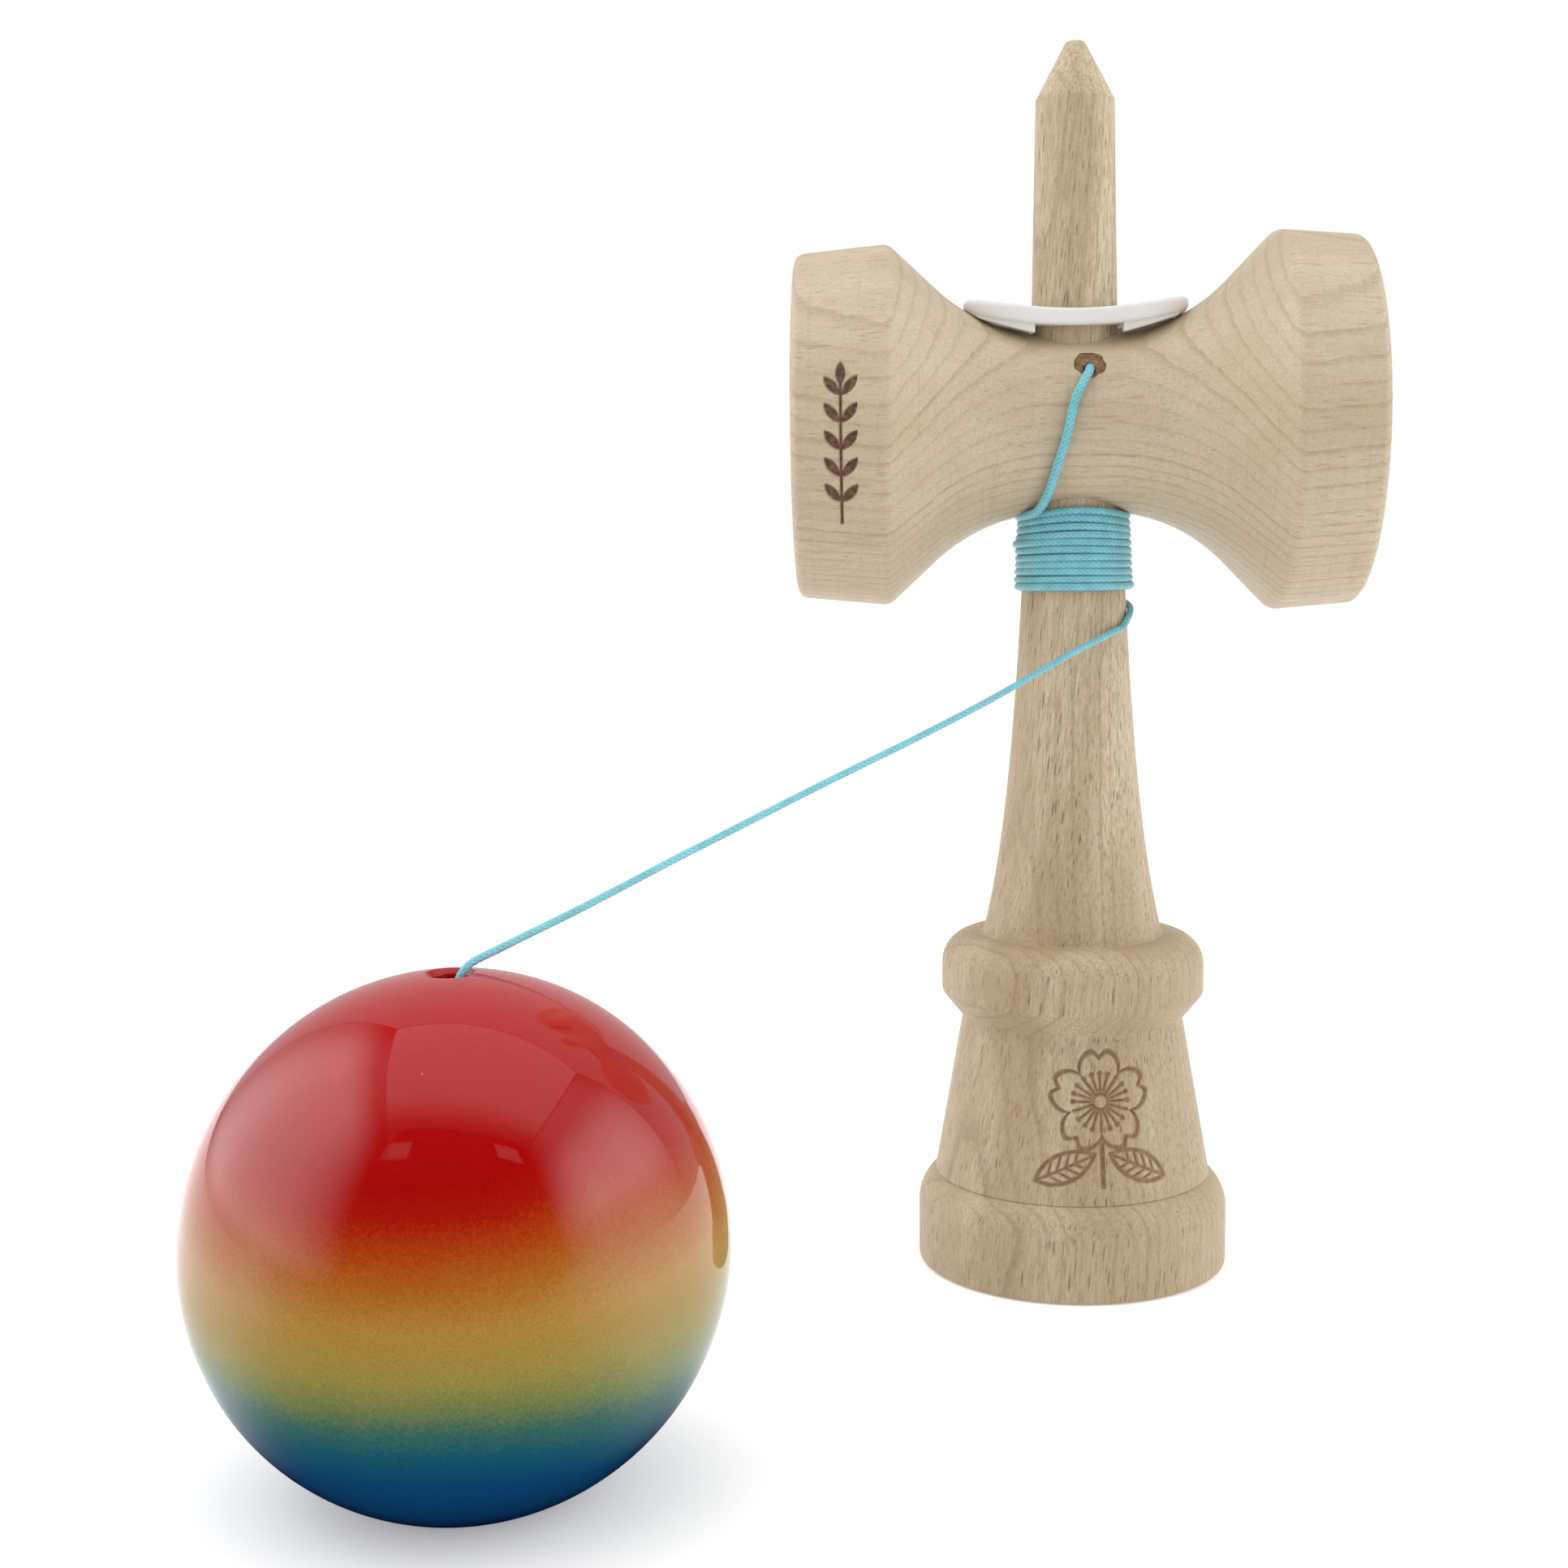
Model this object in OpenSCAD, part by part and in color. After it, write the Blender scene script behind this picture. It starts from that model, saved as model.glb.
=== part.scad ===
// Cup and ball toy: a turned ken with a cross-piece of two cups, and a holed ball tied to it by a string.
// The ken stands upright at the origin on its base cup, and the ball stands on the table beside it.
// Millimetres, +Z up, +X towards the big cup, -Y towards the side that the ball stands on.

/* [Ken] */
// Diameter of the base ring that the ken stands on
base_d = 43.4; // [42:0.2:48]
// Height of the base ring's upright wall
base_wall_h = 8.2; // [7:0.2:11]
// Radius of the base ring's shoulder, above its wall
base_shoulder_r = 5.8; // [5:0.2:8]
// Rounding of the base ring's lower edge
base_edge_r = 0.8; // [0.2:0.1:1.2]
// Width of the flat rim round the base cup
base_rim_w = 3.2; // [2:0.2:5]
// Diameter at the foot of the cone above the base ring
cone_foot_d = 38.6; // [36:0.2:40]
// Height of the cone, up to the neck
cone_h = 22.4; // [16:0.2:30]
// Diameter of the neck under the collar
neck_d = 30.8; // [28:0.2:33]
// Diameter of the collar
collar_d = 36.6; // [35:0.2:40]
// Height of the collar's undercut, above the neck
collar_undercut_h = 3.6; // [2:0.2:5]
// Height of the collar, above its undercut
collar_h = 8.1; // [7:0.1:12]
// Rounding of the collar's upper edge
collar_top_r = 4.2; // [1:0.2:5]
// Rounding of the collar's lower edge
collar_low_r = 1.4; // [0.4:0.2:2]
// Diameter of the handle at its foot, on the collar
handle_foot_d = 25; // [23:0.2:26]
// Length of the handle, from the collar to the underside of the cross-piece
handle_h = 58.7; // [45:0.1:75]
// Length over which the handle's flared foot dies away
handle_flare_h = 18; // [12:0.5:24]
// Diameter of the handle at the underside of the cross-piece
seat_d = 13.2; // [12.6:0.1:15]
// Gain in the handle's radius for each millimetre down, apart from the flare
handle_taper = 0.04; // [0.02:0.005:0.06]
// Diameter of the spike where it leaves the cross-piece
spike_root_d = 11.7; // [11:0.1:12.4]
// Diameter of the spike under its point
spike_top_d = 10.6; // [9:0.1:10.9]
// Length of the spike, up to its point
spike_h = 31.2; // [24:0.1:45]
// Height of the spike's point
point_h = 7.7; // [5:0.1:12]
// Rounding of the spike's tip
point_r = 1.2; // [0.4:0.1:1.5]

/* [Cross-piece] */
// Diameter of the cross-piece at its waist
waist_d = 24; // [22:0.2:26]
// Straight part of the waist on the big cup's side
big_waist_w = 3.9; // [1:0.1:6]
// Radius of the flare on the big cup's side
big_flare_r = 23; // [18:0.5:25]
// Slope of the big cup's back
big_back_angle = 46; // [42:1:50]
// Diameter of the big cup's back edge
big_back_d = 51.2; // [50:0.2:56]
// Diameter of the big cup's rim
big_rim_d = 49.4; // [47:0.2:52]
// Width of the big cup's wall, from its back edge to its rim
big_wall_w = 11.4; // [10:0.2:16]
// Straight part of the waist on the small cup's side
small_waist_w = 2.5; // [1:0.1:6]
// Radius of the flare on the small cup's side
small_flare_r = 24; // [18:0.5:25]
// Slope of the small cup's back
small_back_angle = 43; // [40:1:48]
// Diameter of the small cup's back edge
small_back_d = 49; // [48:0.2:53]
// Diameter of the small cup's rim
small_rim_d = 46.6; // [45:0.2:50]
// Width of the small cup's wall, from its back edge to its rim
small_wall_w = 12.6; // [11:0.2:17]
// Rounding of the cups' back edges
back_edge_r = 2; // [0.5:0.1:3]
// Rounding of the cups' rims
rim_edge_r = 1.4; // [0.4:0.1:1.8]
// Width of the lip between a cup's dish and its outside
lip_w = 2.4; // [2:0.1:4]
// Place of the string hole across the front of the waist
string_hole_x = 1.4; // [-3:0.1:3]
// Height of the string hole above the axis of the cups
string_hole_rise = 7.6; // [5:0.1:8]
// Diameter of the string hole's mouth
string_mouth_d = 4.4; // [3:0.1:5]
// Depth of the string hole's mouth
string_mouth_depth = 1.5; // [1:0.1:2]

/* [Ball] */
// Diameter of the ball
ball_d = 60; // [56:0.5:70]
// Diameter of the flat rim that the ball stands on
ball_rim_d = 23.5; // [20:0.5:26]
// Width of that flat rim
ball_rim_w = 0.7; // [0.4:0.1:1.2]
// Diameter of the large hole that takes the spike
ball_bore_d = 16; // [14:0.2:18]
// Height of the bevel at the mouth of the large hole
ball_bevel_h = 4; // [2:0.2:6]
// Depth of the large hole
ball_bore_depth = 41.6; // [30:0.2:46]
// Diameter of the string hole through the top of the ball
ball_string_d = 4.4; // [3:0.1:6]
// Bevel at the mouth of that string hole
ball_string_bevel = 0.6; // [0.2:0.1:1]
// Place of the ball across, less than zero to the left of the ken
ball_x = -72.7; // [-110:0.1:-65]
// Place of the ball in depth, less than zero in front of the ken
ball_y = -78.1; // [-110:0.1:-70]

/* [Saddle clip] */
// Length of the clip across the spike
clip_l = 30.5; // [26:0.5:34]
// Depth of the clip from front to back
clip_w = 16; // [15:0.2:20]
// Thickness of the clip
clip_t = 2.3; // [1.5:0.1:3]
// Radius that the clip is bent to
clip_bend_r = 48; // [32:1:60]
// Length of each foot under the clip
clip_foot_l = 5.6; // [3:0.1:6]
// Height of each foot under the clip
clip_foot_h = 1.2; // [0.6:0.1:1.4]
// Thickness of each foot under the clip
clip_foot_t = 2.2; // [1:0.1:2.6]
// Distance of each foot from the clip's front or back edge
clip_foot_inset = 1.4; // [0.6:0.1:2]

/* [String] */
// Diameter of the string
string_d = 1.1; // [0.8:0.05:1.2]
// Diameter of the wound string, drawn slim so that its turns stay apart
wound_d = 0.45; // [0.3:0.05:0.45]
// Turns of the winding round the handle
wound_turns = 11; // [4:1:11]
// Height of the winding, from its first turn to its last
wound_h = 9.6; // [9.4:0.1:10]
// Drop of the winding's first turn below the cross-piece's waist
wound_drop = 1.4; // [1.2:0.1:2]
// Diameter of the bead inside the ball
bead_d = 7; // [6:0.1:10]
// Diameter of the knots at the string's ends
knot_d = 3.4; // [2.6:0.1:3.8]
// Thickness of the knots at the string's ends
knot_t = 1.3; // [1:0.1:1.5]

/* [Fits] */
// Clearance all round the ken in the cross-piece
taper_fit = 0.06; // [0.03:0.01:0.1]
// Clearance all round the spike in the clip
clip_fit = 0.35; // [0.2:0.05:0.6]
// Clearance of a dish all round the ball
dish_fit = 0.5; // [0.2:0.1:1]
// Gap between pieces that rest on each other
rest_gap = 0.15; // [0.1:0.05:0.3]
// Clearance all round the string in its holes
string_fit = 0.3; // [0.2:0.05:0.4]
// Gap between the string and the wood that it lies on
string_gap = 0.1; // [0.05:0.05:0.2]

/* [Hidden] */
$fn = 96;
over = 1;
point_round_r = point_r * 0.6;
foot_overlap = 0.4;
ridge_step = 0.5;
gap_window = 3;
arc_steps = 8;
flare_steps = 18;

// Heights up the ken
shoulder_drop = base_shoulder_r - (base_d - cone_foot_d) / 2;
cone_z = base_wall_h + sqrt(pow(base_shoulder_r, 2) - pow(shoulder_drop, 2));
neck_z = cone_z + cone_h;
collar_z = neck_z + collar_undercut_h;
handle_z = collar_z + collar_h;
seat_z = handle_z + handle_h;
root_z = seat_z + waist_d;
point_z = root_z + spike_h;
tip_z = point_z + point_h;
axis_z = seat_z + waist_d / 2;

// The ball's place
ball_r = ball_d / 2;
ball_z = sqrt(pow(ball_r, 2) - pow(ball_rim_d / 2, 2));
bore_end_z = ball_bore_depth - ball_z;
bead_z = ball_z + bore_end_z - rest_gap - bead_d / 2;
bead_hole_d = string_d + 2 * string_fit;

// The string hole in the cross-piece
string_hole_z = axis_z + string_hole_rise;
hole_face_y = -sqrt(pow(waist_d / 2, 2) - pow(string_hole_rise, 2));
knot_face_y = -ken_r(string_hole_z) - taper_fit - rest_gap - knot_t;
groove_y = knot_face_y - rest_gap;
groove_w = knot_d + 2 * rest_gap;
string_way_d = string_d + 2 * string_fit;

// The string's route. The turns are worked out, and the rest is a list of places from end to end.
wound_start_angle = 200;
wound_top_z = seat_z - wound_drop;
wound_low_z = wound_top_z - wound_h;
wound_rings = 24;
wound_sides = 6;
string_sides = 8;
string_lift = string_d / 2 + string_gap;
LEAD = [
    [1.4, -9.4, 124.7], [1.2, -10.4, 124.2], [0.8, -11.3, 123.6], [0.2, -11.9, 122.5],
    [-0.6, -12.4, 120.9], [-1.3, -12.8, 118.3], [-1.9, -12.6, 115.5], [-2.7, -11.9, 112.9],
    [-3.4, -10.7, 110.4], [-4.2, -8.9, 107.9], [-5.4, -6.6, 105.9], [-6.3, -4.4, 104.8]
];
// Angle round the handle and drop below the winding
TURN = [
    [185, 0], [170, 0.1], [155, 0.2], [140, 0.3], [125, 0.5], [110, 0.6], [95, 0.8], [80, 0.9],
    [65, 1.1], [50, 1.2], [35, 1.4], [20, 1.6], [5, 2.0], [-10, 2.6], [-25, 3.6], [-38, 4.7]
];
LINK = [[5.1, -6.6, 89.6], [3.6, -8.1, 89.0], [1.6, -10.0, 88.2], [-1.0, -12.4, 87.1], [-3.6, -14.8, 85.9]];
SPAN = [
    [-3.6, -14.8, 85.9], [-6.2, -17.2, 84.7], [-12.4, -22.9, 81.8], [-17.4, -27.5, 79.7],
    [-22.5, -32.1, 77.6], [-27.4, -36.6, 75.7], [-32.3, -41.1, 73.8], [-36.8, -45.2, 72.0],
    [-41.2, -49.2, 70.2], [-45.4, -53.1, 68.5], [-49.6, -56.9, 66.8], [-53.6, -60.6, 65.1],
    [-57.6, -64.2, 63.4], [-61.5, -67.8, 61.8], [-65.4, -71.3, 60.3], [-68.2, -73.9, 59.2],
    [-70.3, -75.9, 58.4], [-71.1, -76.6, 57.9], [-71.8, -77.3, 56.9], [-72.3, -77.8, 55.2],
    [-72.6, -78.0, 53.0], [-72.7, -78.1, 50.5]
];
SPAN_SIDE = [0.68, -0.73, 0];

// Colours
beech = "#c9ad88";
pale_beech = "#d8c4a6";
lacquer = "#b5323c";
white_plastic = "#eeeeec";
bead_wood = "#b98d5a";
aqua = "#6fc0cf";

// Radius of the ken at a height in the handle, the cross-piece or the spike
function ken_r(z) =
    z < seat_z ? handle_r(z)
    : z < root_z ? between(z, seat_z, root_z, seat_d / 2, spike_root_d / 2)
    : between(z, root_z, point_z, spike_root_d / 2, spike_top_d / 2);
function between(z, z0, z1, r0, r1) = r0 + (r1 - r0) * (z - z0) / (z1 - z0);
function flare(z) = exp(-(z - handle_z) / handle_flare_h) - exp(-handle_h / handle_flare_h);
flare_gain = (handle_foot_d - seat_d) / 2 - handle_taper * handle_h;
function handle_r(z) = seat_d / 2 + handle_taper * (seat_z - z) + flare_gain * flare(z) / flare(handle_z);

// Height of the cross-piece's back at a distance from the ken
function flare_rise(x, w, r, angle) =
    let (end = w + r * sin(angle))
    x < w ? 0
    : x < end ? r - sqrt(pow(r, 2) - pow(x - w, 2))
    : r - r * cos(angle) + (x - end) * tan(angle);
function ridge_z(x) =
    axis_z + waist_d / 2 + (x > 0 ? flare_rise(x, big_waist_w, big_flare_r, big_back_angle)
    : flare_rise(-x, small_waist_w, small_flare_r, small_back_angle));
// Distance from the ken at which a cup's back reaches its edge
function back_x(d, w, r, angle) =
    w + r * sin(angle) + ((d - waist_d) / 2 - r * (1 - cos(angle))) / tan(angle);
big_back_x = back_x(big_back_d, big_waist_w, big_flare_r, big_back_angle);
small_back_x = back_x(small_back_d, small_waist_w, small_flare_r, small_back_angle);

// An outline's points, each [x, y, rounding], with its corners turned into arcs
function unit(v) = v / norm(v);
function flat(p) = [p[0], p[1]];
function corner(a, b, c, r) =
    let (u = unit(a - b), v = unit(c - b), half = acos(u * v) / 2)
    let (centre = b + unit(u + v) * r / sin(half), p = b + u * r / tan(half) - centre)
    let (start = atan2(p[1], p[0]), turn = (180 - 2 * half) * sign(u[0] * v[1] - u[1] * v[0]))
    [for (i = [0:arc_steps]) let (a = start - turn * i / arc_steps) centre + r * [cos(a), sin(a)]];
function rounded(list) =
    let (n = len(list))
    [for (i = [0:n - 1]) each list[i][2] == undef || list[i][2] == 0 ? [flat(list[i])]
    : corner(flat(list[(i + n - 1) % n]), flat(list[i]), flat(list[(i + 1) % n]), list[i][2])];

// Rings of points round a path, and the faces between them
function heading(path, i) = unit(path[min(i + 1, len(path) - 1)] - path[max(i - 1, 0)]);
function ring(centre, along, side, d, sides) =
    let (u = unit(cross(along, cross(side, along))), v = cross(along, u))
    [for (k = [0:sides - 1]) centre + d / 2 * (u * cos(360 * k / sides) + v * sin(360 * k / sides))];
module tube(path, d, sides, side) {
    n = len(path);
    points = [for (i = [0:n - 1]) each ring(path[i], heading(path, i), side, d, sides)];
    walls = [for (i = [0:n - 2]) for (k = [0:sides - 1])
        let (a = i * sides + k, b = i * sides + (k + 1) % sides)
        each [[a, a + sides, b], [b, a + sides, b + sides]]];
    last = (n - 1) * sides;
    ends = [for (k = [1:sides - 2]) each [[0, k, k + 1], [last, last + k + 1, last + k]]];
    polyhedron(points, concat(walls, ends));
}

// A place on the string where it lies against the handle
function on_handle(angle, z) = let (r = ken_r(z) + string_lift) [r * cos(angle), r * sin(angle), z];
function wound_place(i) =
    let (angle = wound_start_angle - 360 * i / wound_rings, drop = wound_h * i / (wound_turns * wound_rings))
    on_handle(angle, wound_top_z - drop);
function wound_path() =
    let (n = wound_turns * wound_rings, p = [for (i = [0:n]) wound_place(i)])
    let (first = unit(p[1] - p[0]) * wound_d, last = unit(p[n] - p[n - 1]) * wound_d)
    concat([p[0] - first], p, [p[n] + last]);
function least_gap(path, step, d) =
    min([for (i = [1:len(path) - step - gap_window - 1]) for (k = [-gap_window:gap_window])
        norm(path[i] - path[i + step + k])]) - d;
wound_points = wound_path();
wound_end = wound_points[len(wound_points) - 1];
echo(least_gap_of_winding = least_gap(wound_points, wound_rings, wound_d));

module ken_handle() {
    outline = rounded([
        [0, 0], [base_d / 2, 0, base_edge_r], each shoulder_arc(), [neck_d / 2, neck_z],
        [collar_d / 2, collar_z, collar_low_r], [collar_d / 2, handle_z, collar_top_r],
        for (i = [0:flare_steps]) let (z = handle_z + handle_h * i / flare_steps) [handle_r(z), z],
        [spike_root_d / 2, root_z], [spike_top_d / 2, point_z], [point_r, tip_z, point_round_r], [0, tip_z]
    ]);
    color(beech) difference() {
        rotate_extrude() polygon(outline);
        dish(base_d / 2 - base_rim_w);
    }
}
// The base ring's shoulder, from its wall to the foot of the cone
function shoulder_arc() =
    let (turn = asin((cone_z - base_wall_h) / base_shoulder_r), centre = base_d / 2 - base_shoulder_r)
    [for (i = [0:arc_steps]) let (a = turn * i / arc_steps)
        [centre + base_shoulder_r * cos(a), base_wall_h + base_shoulder_r * sin(a)]];
// A hollow that the ball sits in, with its mouth at z = 0 and its floor above
module dish(mouth_r) {
    r = ball_r + dish_fit;
    translate([0, 0, dish_depth(mouth_r) - r]) sphere(r);
}
function dish_depth(mouth_r) = let (r = ball_r + dish_fit) r - sqrt(pow(r, 2) - pow(mouth_r, 2));

// One side of the cross-piece's outline, from the waist to the rim, with x outwards and y the radius
function side_outline(w, r, angle, edge_x, edge_d, rim_d, wall_w) = concat(
    [for (i = [0:flare_steps]) let (a = angle * i / flare_steps)
        [w + r * sin(a), waist_d / 2 + r * (1 - cos(a))]],
    [[edge_x, edge_d / 2, back_edge_r], [edge_x + wall_w, rim_d / 2, rim_edge_r], [edge_x + wall_w, 0]]
);
module cross_cups() {
    big = side_outline(
        big_waist_w, big_flare_r, big_back_angle, big_back_x, big_back_d, big_rim_d, big_wall_w
    );
    small = side_outline(
        small_waist_w, small_flare_r, small_back_angle, small_back_x, small_back_d, small_rim_d, small_wall_w
    );
    last = len(small) - 1;
    outline = concat(
        [for (i = [0:last]) let (p = small[last - i]) [p[1], -p[0], p[2]]],
        [for (p = big) [p[1], p[0], p[2]]]
    );
    color(pale_beech) difference() {
        translate([0, 0, axis_z]) rotate([0, 90, 0]) rotate_extrude() polygon(rounded(outline));
        translate([big_back_x + big_wall_w, 0, axis_z]) rotate([0, -90, 0]) dish(big_rim_d / 2 - lip_w);
        translate([-small_back_x - small_wall_w, 0, axis_z]) rotate([0, 90, 0]) dish(small_rim_d / 2 - lip_w);
        ken_taper(taper_fit);
        string_hole();
    }
}
// The ken's taper through the cross-piece, grown by a clearance
module ken_taper(fit) {
    low = seat_z - over;
    slope = (seat_d - spike_root_d) / 2 / waist_d;
    low_r = seat_d / 2 + fit + slope * over;
    high_r = spike_root_d / 2 + fit - slope * over;
    translate([0, 0, low]) cylinder(r1 = low_r, r2 = high_r, h = waist_d + 2 * over);
}
// The hole at the front for the string, and the groove behind it for its knot, open at the top
module string_hole() {
    translate([string_hole_x, 0, string_hole_z]) rotate([90, 0, 0]) {
        cylinder(d = string_way_d, h = waist_d);
        translate([0, 0, -hole_face_y - string_mouth_depth]) cylinder(d = string_mouth_d, h = waist_d);
    }
    translate([string_hole_x - groove_w / 2, groove_y, string_hole_z - groove_w / 2])
        cube([groove_w, -groove_y, waist_d]);
}

module ball() {
    bevel_r = ball_rim_d / 2 - ball_rim_w;
    color(lacquer) translate([ball_x, ball_y, ball_z]) difference() {
        sphere(ball_r);
        translate([0, 0, -ball_z - ball_r]) cylinder(r = ball_r, h = ball_r);
        translate([0, 0, -ball_z]) cylinder(r1 = bevel_r, r2 = ball_bore_d / 2, h = ball_bevel_h);
        translate([0, 0, -ball_z - over]) cylinder(d = ball_bore_d, h = ball_bore_depth + over);
        cylinder(d = ball_string_d, h = ball_d);
        translate([0, 0, ball_r - ball_string_bevel]) cylinder(
            d1 = ball_string_d, d2 = ball_string_d + 4 * ball_string_bevel, h = 2 * ball_string_bevel
        );
    }
}

// The clip's underside at the spike, high enough for its ends to rest on the cross-piece
function clip_sag(x) = clip_bend_r - sqrt(pow(clip_bend_r, 2) - pow(x, 2));
clip_z = rest_gap + max([for (x = [-clip_l / 2:ridge_step:clip_l / 2]) ridge_z(x) - clip_sag(x)]);
clip_hole_d = spike_root_d + 2 * clip_fit;
module saddle_clip() {
    color(white_plastic) difference() {
        union() {
            intersection() {
                translate([0, 0, seat_z]) linear_extrude(tip_z - seat_z) stadium(clip_l, clip_w);
                translate([0, 0, clip_z + clip_bend_r]) rotate([90, 0, 0]) difference() {
                    cylinder(r = clip_bend_r, h = 2 * clip_w, center = true, $fn = 192);
                    cylinder(r = clip_bend_r - clip_t, h = 3 * clip_w, center = true, $fn = 192);
                    translate([-clip_bend_r, 0, -2 * clip_w])
                        cube([2 * clip_bend_r, 2 * clip_bend_r, 4 * clip_w]);
                }
            }
            for (x = [0, 1], y = [0, 1]) mirror([x, 0, 0]) mirror([0, y, 0]) clip_foot();
        }
        translate([0, 0, axis_z]) cylinder(d = clip_hole_d, h = tip_z);
    }
}
// A wedge foot beside the spike, under the front edge of the clip
module clip_foot() {
    inner = clip_hole_d / 2 - foot_overlap;
    outer = inner + clip_foot_l;
    top = clip_z + clip_t / 2;
    translate([0, clip_w / 2 - clip_foot_inset, 0]) rotate([90, 0, 0]) linear_extrude(clip_foot_t) polygon([
        [inner, clip_z + clip_sag(inner) - clip_foot_h], [outer, clip_z + clip_sag(outer)],
        [outer, top + clip_sag(outer)], [inner, top]
    ]);
}
module stadium(l, w) {
    square([l - w, w], center = true);
    for (x = [-1, 1]) translate([x * (l - w) / 2, 0]) circle(d = w);
}

module ball_bead() {
    color(bead_wood) translate([ball_x, ball_y, bead_z]) difference() {
        sphere(d = bead_d);
        cylinder(d = bead_hole_d, h = 2 * bead_d, center = true);
    }
}
// A knot drawn as a bun, with its flat faces square to the string
module knot() {
    bulge = knot_t / 2;
    rotate_extrude() union() {
        square([knot_d / 2 - bulge, knot_t]);
        intersection() {
            translate([knot_d / 2 - bulge, bulge]) circle(bulge);
            square([knot_d, knot_t]);
        }
    }
}
bead_knot_z = bead_z - bead_d / 2 - rest_gap - knot_t;
module stopper_knot() {
    color(aqua) translate([string_hole_x, knot_face_y, string_hole_z]) rotate([-90, 0, 0]) knot();
}
module bead_knot() {
    color(aqua) translate([ball_x, ball_y, bead_knot_z]) knot();
}

module string_lead() {
    start = [string_hole_x, knot_face_y, string_hole_z];
    into = wound_points[0] - unit(wound_points[1] - wound_points[0]) * string_d;
    path = concat([start, start - [0, string_d, 0]], LEAD, [into, wound_points[0]]);
    color(aqua) tube(path, string_d, string_sides, [1, 0, 0]);
}
module string_winding() {
    color(aqua) tube(wound_points, wound_d, wound_sides, [0, 0, 1]);
}
module string_turn() {
    last = len(wound_points) - 1;
    out = wound_end + unit(wound_end - wound_points[last - 1]) * string_d;
    leave = LINK[0] - unit(LINK[1] - LINK[0]) * string_d;
    path = concat([wound_end, out], [for (p = TURN) on_handle(p[0], wound_low_z - p[1])], [leave, LINK[0]]);
    color(aqua) tube(path, string_d, string_sides, [0, 0, 1]);
}
module string_link() {
    color(aqua) tube(LINK, string_d, string_sides, SPAN_SIDE);
}
module string_span() {
    inside = [for (z = [bead_z + bead_d / 2, bead_z, bead_knot_z + knot_t]) [ball_x, ball_y, z]];
    color(aqua) tube(concat(SPAN, inside), string_d, string_sides, SPAN_SIDE);
}

ken_handle();
cross_cups();
ball();
saddle_clip();
ball_bead();
stopper_knot();
bead_knot();
string_lead();
string_winding();
string_turn();
string_link();
string_span();
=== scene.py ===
"""Looks of a cup and ball toy: turned beech, a sprayed ball, a braided string and a moulded clip.

Sizes are written in millimetres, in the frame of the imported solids, and the pieces are made in metres.
"""

from __future__ import annotations

import logging
import math
from dataclasses import dataclass, field, replace
from enum import Enum
from typing import Any, Callable, Sequence

import bmesh
import bpy
import numpy as np
from mathutils import Matrix, Vector

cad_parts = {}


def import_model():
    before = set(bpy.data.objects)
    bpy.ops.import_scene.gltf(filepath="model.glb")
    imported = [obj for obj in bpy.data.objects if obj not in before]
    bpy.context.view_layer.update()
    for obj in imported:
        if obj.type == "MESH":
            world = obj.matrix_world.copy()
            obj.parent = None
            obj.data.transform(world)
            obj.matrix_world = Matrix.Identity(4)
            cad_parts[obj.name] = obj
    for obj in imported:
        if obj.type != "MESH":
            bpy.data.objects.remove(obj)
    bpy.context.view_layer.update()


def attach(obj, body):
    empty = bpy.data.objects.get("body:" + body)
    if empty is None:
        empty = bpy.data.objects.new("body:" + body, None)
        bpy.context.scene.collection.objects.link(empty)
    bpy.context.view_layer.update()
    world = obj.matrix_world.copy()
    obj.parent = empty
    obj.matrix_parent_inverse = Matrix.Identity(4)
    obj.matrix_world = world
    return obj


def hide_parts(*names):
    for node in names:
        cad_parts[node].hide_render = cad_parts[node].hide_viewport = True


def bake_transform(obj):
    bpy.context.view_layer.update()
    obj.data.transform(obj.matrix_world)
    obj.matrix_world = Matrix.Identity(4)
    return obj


MM = 0.001
LOG = logging.getLogger("cup_and_ball")

Points = np.ndarray
Colour = tuple[float, float, float, float]
Place = tuple[float, float, float]
Fade = tuple[float, float, float, float]
Socket = bpy.types.NodeSocket
Piece = bpy.types.Object
Material = bpy.types.Material

ORIGIN: Place = (0.0, 0.0, 0.0)
WHITE: Colour = (1.0, 1.0, 1.0, 1.0)
TINY = 1e-6
DISH_ROWS = 22


class Axis(Enum):
    """The axis that a piece is turned on."""

    UPRIGHT = "upright"
    ACROSS = "across"


def paint(code: str) -> Colour:
    """Turns a colour such as #c8b090 into the linear values that shaders take.

    Args:
        code: The colour as six hexadecimal digits after a hash.

    Returns:
        Red, green, blue and an alpha of 1.
    """
    shown = [int(code[i : i + 2], 16) / 255 for i in (1, 3, 5)]
    linear = [c / 12.92 if c <= 0.04045 else ((c + 0.055) / 1.055) ** 2.4 for c in shown]
    return (linear[0], linear[1], linear[2], 1.0)


def unit(vector: Points) -> Points:
    """Returns the vector at a length of 1."""
    return vector / np.linalg.norm(vector)


# Outlines and turned meshes


@dataclass(frozen=True)
class Corner:
    """A corner of a turned outline: its radius, its place along the axis and its rounding."""

    radius: float
    along: float
    rounding: float = 0.0


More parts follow.
